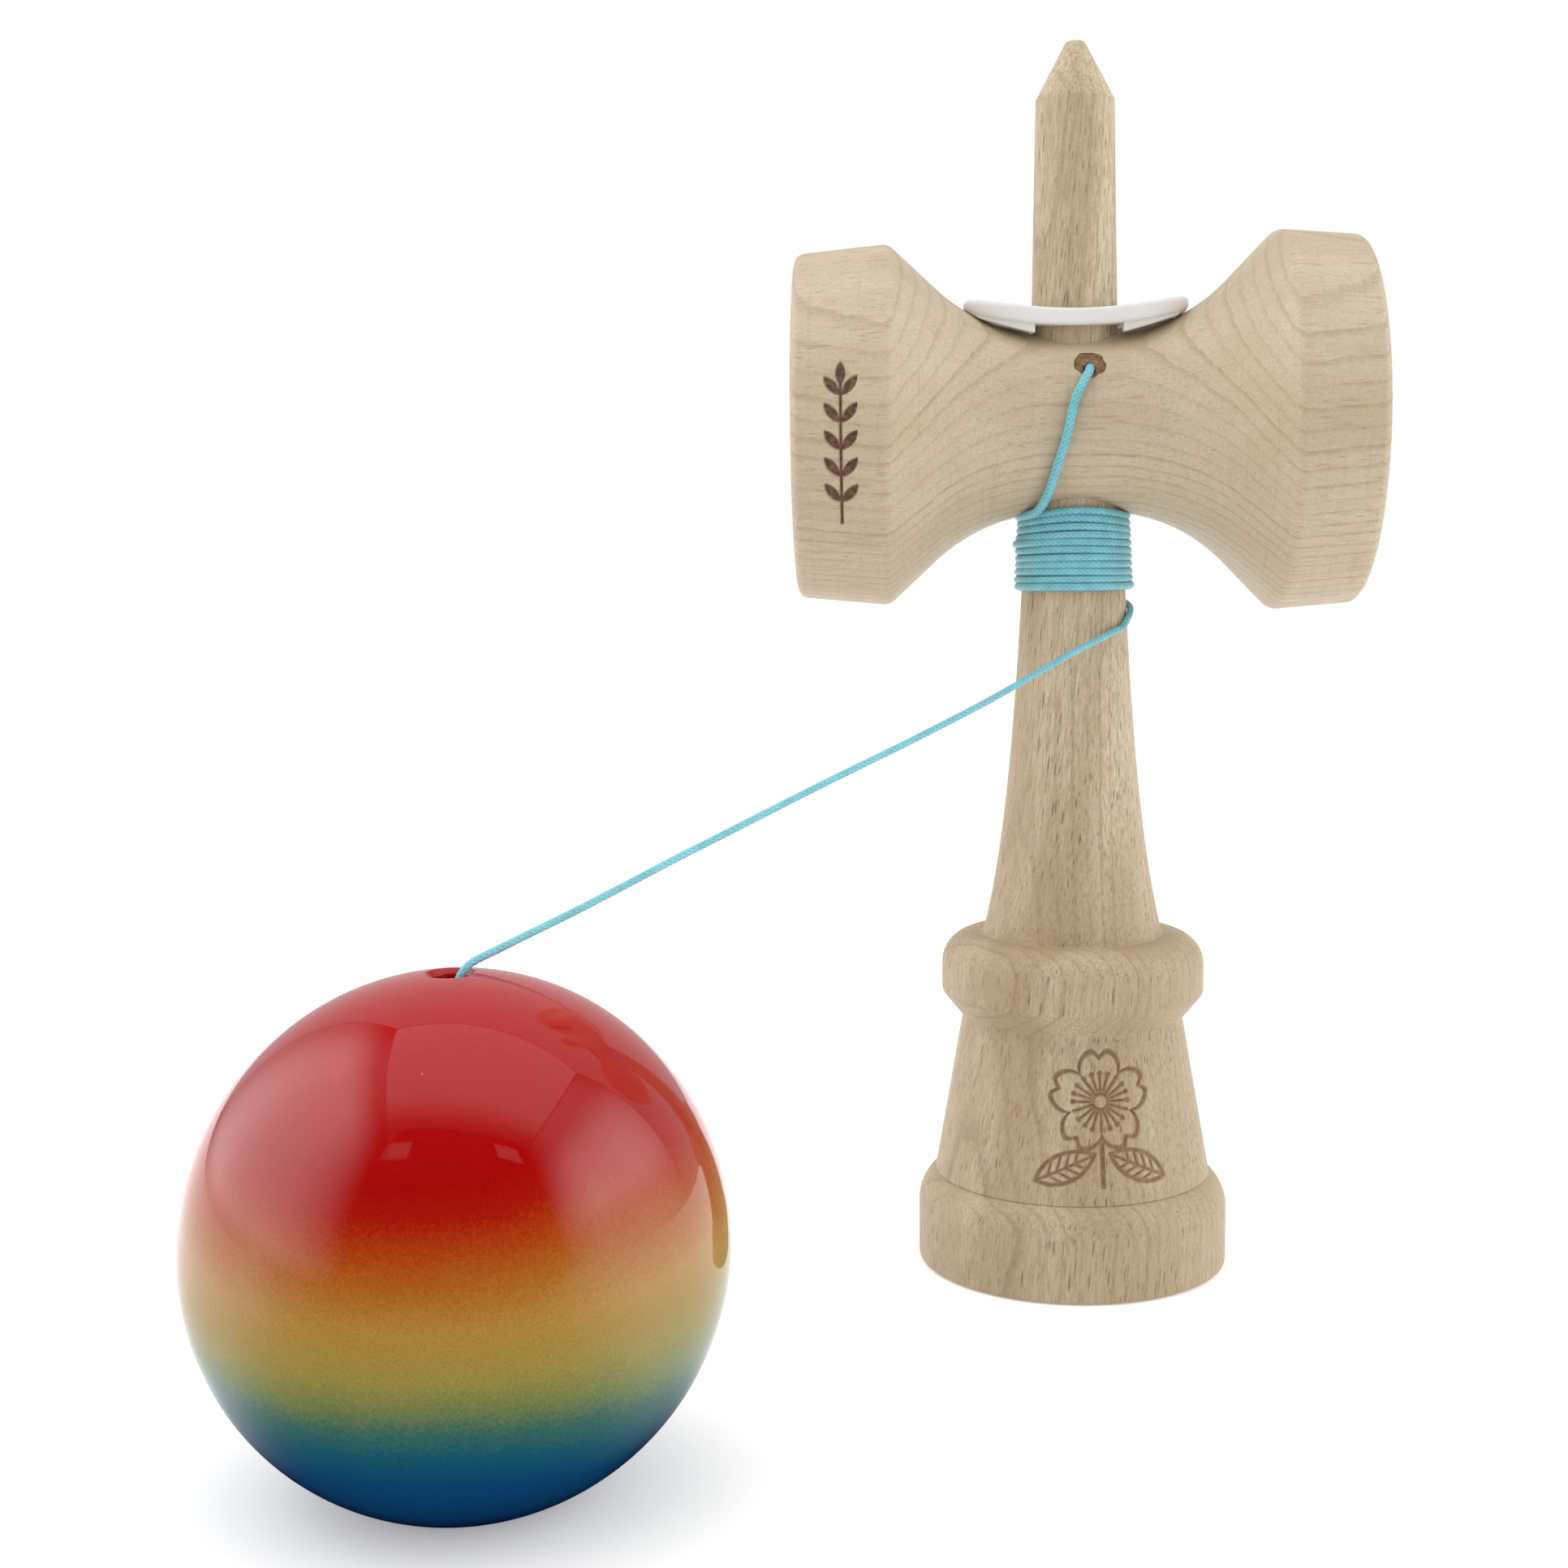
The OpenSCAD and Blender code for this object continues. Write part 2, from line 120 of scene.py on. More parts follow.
def outline(corners: Sequence[Corner], arc_step: float = 10.0) -> Points:
    """Rounds the corners of an open outline.

    Args:
        corners: The corners in order.
        arc_step: Degrees between the points of a rounding.

    Returns:
        Rows of radius and place along the axis.
    """
    flat = np.array([(c.radius, c.along) for c in corners])
    made = [flat[0]]
    for i in range(1, len(flat) - 1):
        size = corners[i].rounding
        if size <= 0:
            made.append(flat[i])
            continue
        back = unit(flat[i - 1] - flat[i])
        ahead = unit(flat[i + 1] - flat[i])
        half = math.acos(float(np.clip(back @ ahead, -1, 1))) / 2
        centre = flat[i] + unit(back + ahead) * size / math.sin(half)
        first = flat[i] + back * size / math.tan(half) - centre
        last = flat[i] + ahead * size / math.tan(half) - centre
        sweep = math.pi - 2 * half
        count = max(2, math.ceil(math.degrees(sweep) / arc_step))
        for t in np.linspace(0, 1, count + 1):
            arm = first * math.sin((1 - t) * sweep) + last * math.sin(t * sweep)
            made.append(centre + arm / math.sin(sweep))
    made.append(flat[-1])
    return np.array(made)


def divided(points: Points, step: Callable[[Points], float]) -> Points:
    """Divides the long stretches of an outline.

    Args:
        points: Rows of radius and place along the axis.
        step: Gives the longest stretch allowed at a point.

    Returns:
        The same outline with more rows.
    """
    made = [points[0]]
    for start, end in zip(points[:-1], points[1:]):
        count = max(1, math.ceil(np.linalg.norm(end - start) / step((start + end) / 2)))
        made.extend(start + (end - start) * k / count for k in range(1, count + 1))
    return np.array(made)


def round_angles(centre: float, half: float, fine: float, coarse: float) -> Points:
    """Spaces angles round an axis, close together over one sector.

    Args:
        centre: Middle of the close sector, in degrees from the front.
        half: Half the width of that sector.
        fine: Step within it.
        coarse: Step elsewhere.

    Returns:
        Angles in degrees, once round.
    """
    close = np.linspace(centre - half, centre + half, math.ceil(2 * half / fine) + 1)
    open_span = 360 - 2 * half
    wide = centre + half + np.linspace(0, open_span, math.ceil(open_span / coarse) + 1)[1:-1]
    return np.concatenate([close, wide])


def turned(profile: Points, angles: Points, axis: Axis, middle: Place) -> Points:
    """Turns an outline round an axis.

    Args:
        profile: Rows of radius and place along the axis.
        angles: Degrees from the front, towards +X on an upright axis and up on one that lies across.
        axis: The axis that it turns on.
        middle: The place of the axis's zero.

    Returns:
        Places in rows, one for each point of the outline, and columns, one for each angle.
    """
    radius, along = profile[:, :1], profile[:, 1:]
    turn = np.radians(angles)[None, :]
    side, front = radius * np.sin(turn), -radius * np.cos(turn)
    length = np.broadcast_to(along, side.shape)
    order = (side, front, length) if axis is Axis.UPRIGHT else (length, front, side)
    return np.stack(order, axis=-1) + np.array(middle)


def outward(profile: Points) -> Points:
    """Returns the direction square to an outline at each of its points, on its left side."""
    along = np.gradient(profile, axis=0)
    along /= np.maximum(np.linalg.norm(along, axis=1, keepdims=True), TINY)
    return np.stack([along[:, 1], -along[:, 0]], axis=1)


def shrunk(row: Points) -> bool:
    """Says whether a row of places shrinks to a point."""
    return np.ptp(row, axis=0).max() < TINY


def merged_rows(grid: Points, places: Points) -> Points:
    """Lists a grid's values by row, with one value for a row that shrinks to a point.

    Args:
        grid: Values in rows and columns.
        places: The places that say which rows shrink to a point.

    Returns:
        The values in the order of a skin's points.
    """
    return np.concatenate([g[:1] if shrunk(p) else g for g, p in zip(grid, places)])


def placed(name: str, data: bpy.types.ID) -> Piece:
    """Puts a mesh, a lamp or a camera into the scene."""
    made = bpy.data.objects.new(name, data)
    bpy.context.scene.collection.objects.link(made)
    return made


def skin(name: str, places: Points, closed: bool = False, capped: bool = False) -> Piece:
    """Makes a mesh over rings of places.

    Args:
        name: The piece's name.
        places: Places in millimetres, in rows that each go once round.
        closed: Whether the last row joins the first.
        capped: Whether flat ends close the first and the last row.

    Returns:
        The new object, in metres.
    """
    rows, columns = places.shape[:2]
    index: list[list[int]] = []
    total = 0
    for row in places:
        index.append([total] * columns if shrunk(row) else list(range(total, total + columns)))
        total = index[-1][-1] + 1
    faces: list[list[int]] = []
    for i in range(rows if closed else rows - 1):
        low, high = index[i], index[(i + 1) % rows]
        for k in range(columns):
            n = (k + 1) % columns
            ring = [low[k], low[n], high[n], high[k]]
            faces.append([v for j, v in enumerate(ring) if v != ring[j - 1]])
    if capped:
        faces += [index[0][::-1], index[-1]]
    mesh = bpy.data.meshes.new(name)
    mesh.from_pydata((merged_rows(places, places) * MM).tolist(), [], faces)
    shaped = bmesh.new()
    shaped.from_mesh(mesh)
    bmesh.ops.recalc_face_normals(shaped, faces=shaped.faces)
    shaped.to_mesh(mesh)
    shaped.free()
    return placed(name, mesh)


def soften(piece: Piece, sharp_angle: float = 35.0) -> None:
    """Shades a piece smooth, apart from edges sharper than an angle in degrees."""
    piece.data.shade_smooth()
    piece.data.set_sharp_from_angle(angle=math.radians(sharp_angle))


def store(piece: Piece, name: str, values: Points) -> None:
    """Keeps one value for each point of a piece, for its material to read."""
    layer = piece.data.attributes.new(name, "FLOAT", "POINT")
    layer.data.foreach_set("value", np.asarray(values, np.float32).ravel())


def settle(piece: Piece) -> None:
    """Turns a piece's modifiers into its mesh.

    Args:
        piece: The piece.
    """
    graph = bpy.context.evaluated_depsgraph_get()
    mesh = bpy.data.meshes.new_from_object(
        piece.evaluated_get(graph), preserve_all_data_layers=True, depsgraph=graph
    )
    old = piece.data
    piece.modifiers.clear()
    piece.data = mesh
    bpy.data.meshes.remove(old)
    mesh.name = piece.name


def report(piece: Piece) -> None:
    """Says that a piece is made, and how large its mesh is."""
    LOG.info("%s: %d faces", piece.name, len(piece.data.polygons))


def combine(piece: Piece, others: Sequence[Piece], operation: str) -> None:
    """Joins other solids to a piece, or cuts them out of it, and removes them.

    Args:
        piece: The solid that is changed.
        others: The solids that are used up.
        operation: UNION or DIFFERENCE.
    """
    for other in others:
        step = piece.modifiers.new("combine", "BOOLEAN")
        step.operation = operation
        step.solver = "EXACT"
        step.material_mode = "TRANSFER"
        step.object = other
    settle(piece)
    for other in others:
        bpy.data.objects.remove(other)


# Burnt marks, as masks over a patch of a turned piece


def stroke(distance: Points, width: float, blur: float = 0.16) -> Points:
    """Returns how far a line of that width covers points at those distances from its middle."""
    return np.clip(0.5 - (np.abs(distance) - width / 2) / blur, 0, 1)


def filled(distance: Points, blur: float = 0.16) -> Points:
    """Returns how far a shape covers points, from their distances outside its edge."""
    return np.clip(0.5 - distance / blur, 0, 1)


@dataclass(frozen=True)
class Leaf:
    """A pointed leaf: its middle, its direction in degrees, its length and its width."""

    across: float
    up: float
    turn: float
    length: float
    width: float
    midrib_share: float = 0.75
    vein_share: float = 0.6
    vein_start: float = 0.36
    vein_span: float = 0.6
    vein_slope: float = 0.9
    vein_square: float = 0.74

    def frame(self, u: Points, v: Points) -> tuple[Points, Points]:
        """Returns places along and beside the leaf's midrib."""
        angle = math.radians(self.turn)
        du, dv = u - self.across, v - self.up
        return (du * math.cos(angle) + dv * math.sin(angle), -du * math.sin(angle) + dv * math.cos(angle))

    def edge(self, u: Points, v: Points) -> Points:
        """Returns how far places lie outside the leaf's edge."""
        along, beside = self.frame(u, v)
        bow = (self.length**2 + self.width**2) / (4 * self.width)
        return np.hypot(along, np.abs(beside) + bow - self.width / 2) - bow

    def drawn(self, u: Points, v: Points, line: float, veins: int) -> Points:
        """Returns the mask of the leaf's outline, midrib and veins.

        Args:
            u: Places across.
            v: Places up.
            line: Width of the lines.
            veins: Veins on each side of the midrib.

        Returns:
            Cover from 0 to 1.
        """
        along, beside = self.frame(u, v)
        inside = filled(self.edge(u, v))
        cover = stroke(self.edge(u, v), line)
        cover = np.maximum(cover, stroke(beside, line * self.midrib_share) * inside)
        for k in range(veins):
            foot = self.length * (self.vein_span * (k + 0.5) / veins - self.vein_start)
            vein = (along - foot - np.abs(beside) * self.vein_slope) * self.vein_square
            cover = np.maximum(cover, stroke(vein, line * self.vein_share) * inside)
        return cover


@dataclass(frozen=True)
class Blossom:
    """A five-petalled blossom over two leaves, drawn in burnt lines.

    What is said to be a reach or a place is a share of the blossom's radius.
    """

    radius: float = 7.0
    rise: float = 2.5
    petals: int = 5
    line: float = 0.62
    lobe_foot: float = 0.56
    lobe_turn: float = 88.0
    lobe_power: float = 0.55
    notch: float = 1.1
    notch_turn: float = 6.0
    slant: float = 0.85
    gap_reach: tuple[float, float] = (0.17, 0.58)
    stamen_turns: tuple[float, ...] = (-17, 0, 17)
    stamen_reach: tuple[float, float] = (0.2, 0.5)
    anther_place: float = 0.54
    anther_r: float = 0.36
    eye_place: float = 0.15
    stem_place: float = 0.62
    stem_low: float = -9.0
    veins: int = 4
    leaves: tuple[Leaf, ...] = (
        Leaf(-5.2, -6.3, 24.0, 9.0, 3.7),
        Leaf(5.2, -6.3, 156.0, 9.0, 3.7),
    )

    def mask(self, u: Points, v: Points) -> Points:
        """Returns how far the blossom covers places across and up from its middle.

        Args:
            u: Places across.
            v: Places up.

        Returns:
            Cover from 0 to 1.
        """
        out = np.hypot(u, v - self.rise)
        sector = 360 / self.petals
        bearing = np.degrees(np.arctan2(u, v - self.rise))
        lean = bearing - sector * np.round(bearing / sector)
        lobe = np.cos(np.radians(lean / (sector / 2) * self.lobe_turn)) ** self.lobe_power
        edge = self.radius * (self.lobe_foot + (1 - self.lobe_foot) * lobe)
        edge = edge - self.notch * np.exp(-((lean / self.notch_turn) ** 2))
        share = out / self.radius

        def reached(reach: tuple[float, float]) -> Points:
            """Says which places lie within a reach."""
            return (share > reach[0]) & (share < reach[1])

        gap = out * np.sin(np.radians(sector / 2 - np.abs(lean)))
        covers = [
            stroke((out - edge) * self.slant, self.line),
            stroke(gap, self.line * 0.7) * reached(self.gap_reach),
            stroke(out - self.eye_place * self.radius, self.line * 0.8),
        ]
        for turn in self.stamen_turns:
            aside = out * np.sin(np.radians(np.abs(lean - turn)))
            covers.append(stroke(aside, self.line * 0.55) * reached(self.stamen_reach))
            covers.append(filled(np.hypot(aside, out - self.anther_place * self.radius) - self.anther_r))
        covers += [leaf.drawn(u, v, self.line * 0.9, self.veins) for leaf in self.leaves]
        on_stem = (v < self.rise - self.stem_place * self.radius) & (v > self.stem_low) & (out > edge)
        return np.maximum.reduce([*covers, stroke(u, self.line) * on_stem])


@dataclass(frozen=True)
class Twig:
    """An upright twig with pairs of small filled leaves."""

    length: float = 20.0
    pairs: int = 5
    leaf_length: float = 3.3
    leaf_width: float = 1.3
    leaf_reach: float = 0.56
    spread: float = 38.0
    line: float = 0.42
    low_gap: float = 0.9
    high_gap: float = 0.6

    def mask(self, u: Points, v: Points) -> Points:
        """Returns how far the twig covers places across and up from its middle.

        Args:
            u: Places across.
            v: Places up.

        Returns:
            Cover from 0 to 1.
        """
        size = (self.leaf_length, self.leaf_width)
        reach = self.leaf_length * self.leaf_reach
        leaves = [Leaf(0, self.length / 2 + self.high_gap, 90, *size)]
        for k in range(self.pairs):
            foot = self.length * ((k + self.low_gap) / (self.pairs + self.high_gap) - 0.5)
            for turn in (90 + self.spread, 90 - self.spread):
                away = math.radians(turn)
                leaves.append(Leaf(reach * math.cos(away), foot + reach * math.sin(away), turn, *size))
        stem = stroke(u, self.line) * (np.abs(v) < self.length / 2)
        return np.maximum.reduce([stem, *(filled(leaf.edge(u, v)) for leaf in leaves)])


# Nodes


class Nodes:
    """Adds nodes to one tree and joins them."""

    def __init__(self, tree: bpy.types.NodeTree) -> None:
        """Keeps the tree that nodes are added to."""
        self.tree = tree

    def feed(self, node: bpy.types.Node, inputs: dict[str | int, Any]) -> None:
        """Joins sockets to a node's inputs, or sets their values.

        Args:
            node: The node.
            inputs: Sockets or values, by the name or the number of the input.
        """
        for name, value in inputs.items():
            if isinstance(value, Socket):
                self.tree.links.new(value, node.inputs[name])
            else:
                node.inputs[name].default_value = value

    def add(self, kind: str, inputs: dict[str | int, Any] | None = None, **settings: Any) -> bpy.types.Node:
        """Adds a node.

        Args:
            kind: The node's type.
            inputs: Sockets to join or values to set, by name or number.
            settings: The node's own settings.

        Returns:
            The node.
        """
        node = self.tree.nodes.new(kind)
        for name, value in settings.items():
            setattr(node, name, value)
        self.feed(node, inputs or {})
        return node

    def math(self, operation: str, *values: Any, clamp: bool = False) -> Socket:
        """Returns the result of a sum on sockets or numbers."""
        given = dict(enumerate(values))
        return self.add("ShaderNodeMath", given, operation=operation, use_clamp=clamp).outputs[0]

    def product(self, first: Any, *others: Any) -> Socket:
        """Returns sockets or numbers times one another."""
        for other in others:
            first = self.math("MULTIPLY", first, other)
        return first

    def vector(self, operation: str, *values: Any) -> Socket:
        """Returns the result of a sum on vectors."""
        node = self.add("ShaderNodeVectorMath", dict(enumerate(values)), operation=operation)
        return node.outputs["Value" if operation == "LENGTH" else "Vector"]

    def scaled(self, vector: Socket, share: Any) -> Socket:
        """Returns a vector times a number."""
        return self.add("ShaderNodeVectorMath", {0: vector, "Scale": share}, operation="SCALE").outputs[0]

    def parts(self, vector: Socket) -> list[Socket]:
        """Returns a vector's three parts."""
        return list(self.add("ShaderNodeSeparateXYZ", {0: vector}).outputs)

    def fade(self, value: Socket, low: float, high: float, start: float = 0.0, end: float = 1.0) -> Socket:
        """Returns a smooth change from start to end as a value goes from low to high."""
        wanted = {"Value": value, "From Min": low, "From Max": high, "To Min": start, "To Max": end}
        return self.add("ShaderNodeMapRange", wanted, interpolation_type="SMOOTHSTEP").outputs["Result"]

    def blended(self, share: Any, first: Any, second: Any) -> Socket:
        """Returns a mix of two numbers."""
        return self.add("ShaderNodeMix", {0: share, 2: first, 3: second}, data_type="FLOAT").outputs[0]

    def mix(self, share: Any, first: Any, second: Any) -> Socket:
        """Returns a mix of two colours."""
        return self.add("ShaderNodeMix", {0: share, 6: first, 7: second}, data_type="RGBA").outputs[2]

    def noise(
        self, place: Socket, scale: float, detail: float = 2.0, rough: float = 0.5, out: str = "Fac"
    ) -> Socket:
        """Returns a noise over a place in millimetres."""
        wanted = {"Vector": place, "Scale": scale, "Detail": detail, "Roughness": rough}
        return self.add("ShaderNodeTexNoise", wanted).outputs[out]

    def bump(self, strength: float, depth: float, height: Socket) -> Socket:
        """Returns the facing of a relief, by its depth in millimetres."""
        wanted = {"Strength": strength, "Distance": depth * MM, "Height": height}
        return self.add("ShaderNodeBump", wanted).outputs["Normal"]

    def stored(self, name: str) -> Socket:
        """Returns a value that a piece keeps for each of its points."""
        return self.add("ShaderNodeAttribute", attribute_name=name).outputs["Fac"]

    def group(self, tree: bpy.types.NodeTree, inputs: dict[str | int, Any]) -> bpy.types.NodeOutputs:
        """Places a node group with its values, and returns its results."""
        return self.add("ShaderNodeGroup", inputs, node_tree=tree).outputs

    def millimetres(self) -> Socket:
        """Returns the place on the piece, in millimetres of its own frame."""
        place = self.add("ShaderNodeTexCoord").outputs["Object"]
        return self.vector("MULTIPLY", place, (1 / MM,) * 3)

    def rays(self) -> tuple[bpy.types.NodeOutputs, Socket]:
        """Returns what kind a ray is, and whether it is one that the camera sees by."""
        rays = self.add("ShaderNodeLightPath").outputs
        return rays, self.math("ADD", rays["Is Camera Ray"], rays["Is Transmission Ray"], clamp=True)


def new_group(
    name: str, inputs: dict[str, str], outputs: dict[str, str]
) -> tuple[Nodes, bpy.types.NodeOutputs, bpy.types.Node]:
    """Starts a shader node group.

    Args:
        name: The group's name.
        inputs: Each input's socket type. Whoever places the group sets them all.
        outputs: Each output's socket type.

    Returns:
        The nodes, the sockets that come in, and the node that the results go to.
    """
    tree = bpy.data.node_groups.new(name, "ShaderNodeTree")
    for way, sockets in (("INPUT", inputs), ("OUTPUT", outputs)):
        for label, kind in sockets.items():
            tree.interface.new_socket(label, in_out=way, socket_type=kind)
    come_in = tree.nodes.new("NodeGroupInput")
    go_out = tree.nodes.new("NodeGroupOutput")
    return Nodes(tree), come_in.outputs, go_out


FLOAT = "NodeSocketFloat"
VECTOR = "NodeSocketVector"
COLOUR = "NodeSocketColor"


class Effects:
    """The effects that several materials share, each a node group that is built once."""

    def __init__(self) -> None:
        """Builds the groups."""
        self.grain = self.build_grain()
        self.burn = self.build_burn()
        self.handling = self.build_handling()

    def build_grain(self) -> bpy.types.NodeTree:
        """Builds the growth of beech: ring lines, fibres, flecks, streaks, broad tone and turning marks.

        Returns:
            The group, which takes a place in millimetres with its last value along the fibres.
        """
        masks = ("Rings", "Fibres", "Flecks", "Streaks", "Tone", "Grit", "Turning", "Height")
        nodes, given, out = new_group(
            "BeechGrain",
            {
                "Place": VECTOR,
                "Pith": VECTOR,
                "Ring Spacing": FLOAT,
                "Wander": FLOAT,
                "Fleck Size": VECTOR,
                "Streak Size": VECTOR,
                "Fibre Size": VECTOR,
            },
            dict.fromkeys(masks, FLOAT),
        )
        place = given["Place"]
        shifts = []
        for spacing in ((0.05, 0.05, 0.011), (0.5, 0.5, 0.25)):
            noise = nodes.noise(nodes.vector("MULTIPLY", place, spacing), 1.0, out="Color")
            shifts.append(nodes.vector("SUBTRACT", noise, (0.5, 0.5, 0.5)))
        drift = nodes.scaled(shifts[0], given["Wander"])
        quiver = nodes.scaled(shifts[1], 0.55)
        moved = nodes.vector("ADD", nodes.vector("ADD", place, drift), quiver)
        away = nodes.vector("MULTIPLY", nodes.vector("SUBTRACT", moved, given["Pith"]), (1.0, 1.0, 0.0))
        count = nodes.math("DIVIDE", nodes.vector("LENGTH", away), given["Ring Spacing"])
        part = nodes.math("FRACT", count)
        ring = nodes.math("FLOOR", count)
        chance = nodes.add("ShaderNodeTexWhiteNoise", {"W": ring}, noise_dimensions="1D").outputs["Value"]
        line = nodes.product(nodes.fade(part, 0.60, 0.94), nodes.fade(part, 0.94, 1.0, 1.0, 0.0))
        broken = nodes.fade(nodes.noise(place, 0.8), 0.3, 0.6, 0.5, 1.0)
        rings = nodes.product(line, nodes.fade(chance, 0.0, 1.0, 0.4, 1.0), broken)
        thin = nodes.noise(nodes.vector("DIVIDE", place, given["Fibre Size"]), 1.0, 4.0, 0.65)
        fibres = nodes.fade(thin, 0.38, 0.66)
        bent = nodes.vector("ADD", place, nodes.scaled(quiver, 0.45))
        flecks, streaks = (
            self.dashes(nodes, nodes.vector("DIVIDE", bent, given[cell]), sizes, (0.15, 0.8))
            for cell, sizes in (("Fleck Size", (0.126, 0.28)), ("Streak Size", (0.1485, 0.33)))
        )
        patchy = nodes.noise(nodes.vector("MULTIPLY", place, (0.2, 0.2, 0.05)), 1.0, 1.0)
        streaks = nodes.product(streaks, nodes.fade(patchy, 0.36, 0.58, 0.2, 1.0))
        broad = nodes.noise(nodes.vector("MULTIPLY", place, (0.11, 0.11, 0.016)), 1.0, 3.0, 0.55)
        lathe = {"W": nodes.parts(place)[2], "Scale": 0.62, "Detail": 2.0}
        cut = nodes.add("ShaderNodeTexNoise", lathe, noise_dimensions="1D").outputs["Fac"]
        level = nodes.math("ABSOLUTE", nodes.math("SUBTRACT", cut, 0.5))
        spots = nodes.fade(nodes.noise(place, 0.09, 1.0), 0.45, 0.65)
        marks = nodes.math("MAXIMUM", flecks, streaks)
        depth = nodes.math("ADD", nodes.product(marks, 0.7), nodes.product(fibres, 0.35))
        depth = nodes.math("ADD", depth, nodes.product(rings, 0.2))
        results = {
            "Rings": rings,
            "Fibres": fibres,
            "Flecks": flecks,
            "Streaks": streaks,
            "Tone": nodes.fade(broad, 0.3, 0.7),
            "Grit": nodes.fade(nodes.noise(place, 2.6, 3.0, 0.7), 0.3, 0.7),
            "Turning": nodes.product(nodes.fade(level, 0.0, 0.02, 1.0, 0.0), spots),
            "Height": nodes.math("SUBTRACT", 1.0, depth),
        }
        nodes.feed(out, results)
        return nodes.tree

    def dashes(
        self,
        nodes: Nodes,
        place: Socket,
        sizes: tuple[float, float],
        chances: tuple[float, float],
        draw: int = 0,
    ) -> Socket:
        """Adds scattered dashes, one at most in each cell.

        Args:
            nodes: The nodes that they are added to.
            place: A place in cells.
            sizes: Half the size of a dash's dark middle and of the whole dash, in cells.
            chances: The draws from which a cell's dash starts to show, and shows in full.
            draw: Which of a cell's three draws decides.

        Returns:
            How dark the dashes are, from 0 to 1.
        """
        cells = nodes.add("ShaderNodeTexVoronoi", {"Vector": place, "Scale": 1.0}).outputs
        pick = nodes.add("ShaderNodeSeparateColor", {0: cells["Color"]}).outputs[draw]
        return nodes.product(nodes.fade(cells["Distance"], *sizes, 1.0, 0.0), nodes.fade(pick, *chances))

    def build_burn(self) -> bpy.types.NodeTree:
        """Builds a burnt mark with uneven tones.

        Returns:
            The group, which darkens a colour where its mask says.
        """
        nodes, given, out = new_group(
            "BurntMark",
            {
                "Color": COLOUR,
                "Mask": FLOAT,
                "Place": VECTOR,
                "Char": COLOUR,
                "Toast": COLOUR,
                "Strength": FLOAT,
            },
            {"Color": COLOUR, "Mask": FLOAT},
        )
        uneven = nodes.fade(nodes.noise(given["Place"], 1.6, 3.0), 0.35, 0.68)
        char = nodes.mix(uneven, given["Char"], given["Toast"])
        cover = nodes.math("MULTIPLY", given["Mask"], given["Strength"], clamp=True)
        nodes.feed(out, {"Color": nodes.mix(cover, given["Color"], char), "Mask": cover})
        return nodes.tree

    def build_handling(self) -> bpy.types.NodeTree:
        """Builds what handling leaves on a smooth finish, faint smudges and fine dust, and its ripple.

        Returns:
            The group, which takes a place in millimetres.
        """
        nodes, given, out = new_group(
            "Handling",
            {"Place": VECTOR, "Dust Spacing": FLOAT},
            {"Smudge": FLOAT, "Dust": FLOAT, "Ripple": FLOAT},
        )
        place = given["Place"]
        apart = nodes.vector("DIVIDE", place, given["Dust Spacing"])
        results = {
            "Smudge": nodes.fade(nodes.noise(place, 0.13, 4.0, 0.6), 0.4, 0.7),
            "Dust": self.dashes(nodes, apart, (0.01, 0.025), (0.6, 0.75), draw=1),
            "Ripple": nodes.noise(place, 0.55),
        }
        nodes.feed(out, results)
        return nodes.tree


def new_material(name: str) -> tuple[Material, Nodes, bpy.types.Node]:
    """Starts a material with its own surface shader.

    Args:
        name: The material's name.

    Returns:
        The material, its nodes and its shader.
    """
    made = bpy.data.materials.new(name)
    made.use_nodes = True
    return made, Nodes(made.node_tree), made.node_tree.nodes["Principled BSDF"]


# Finishes


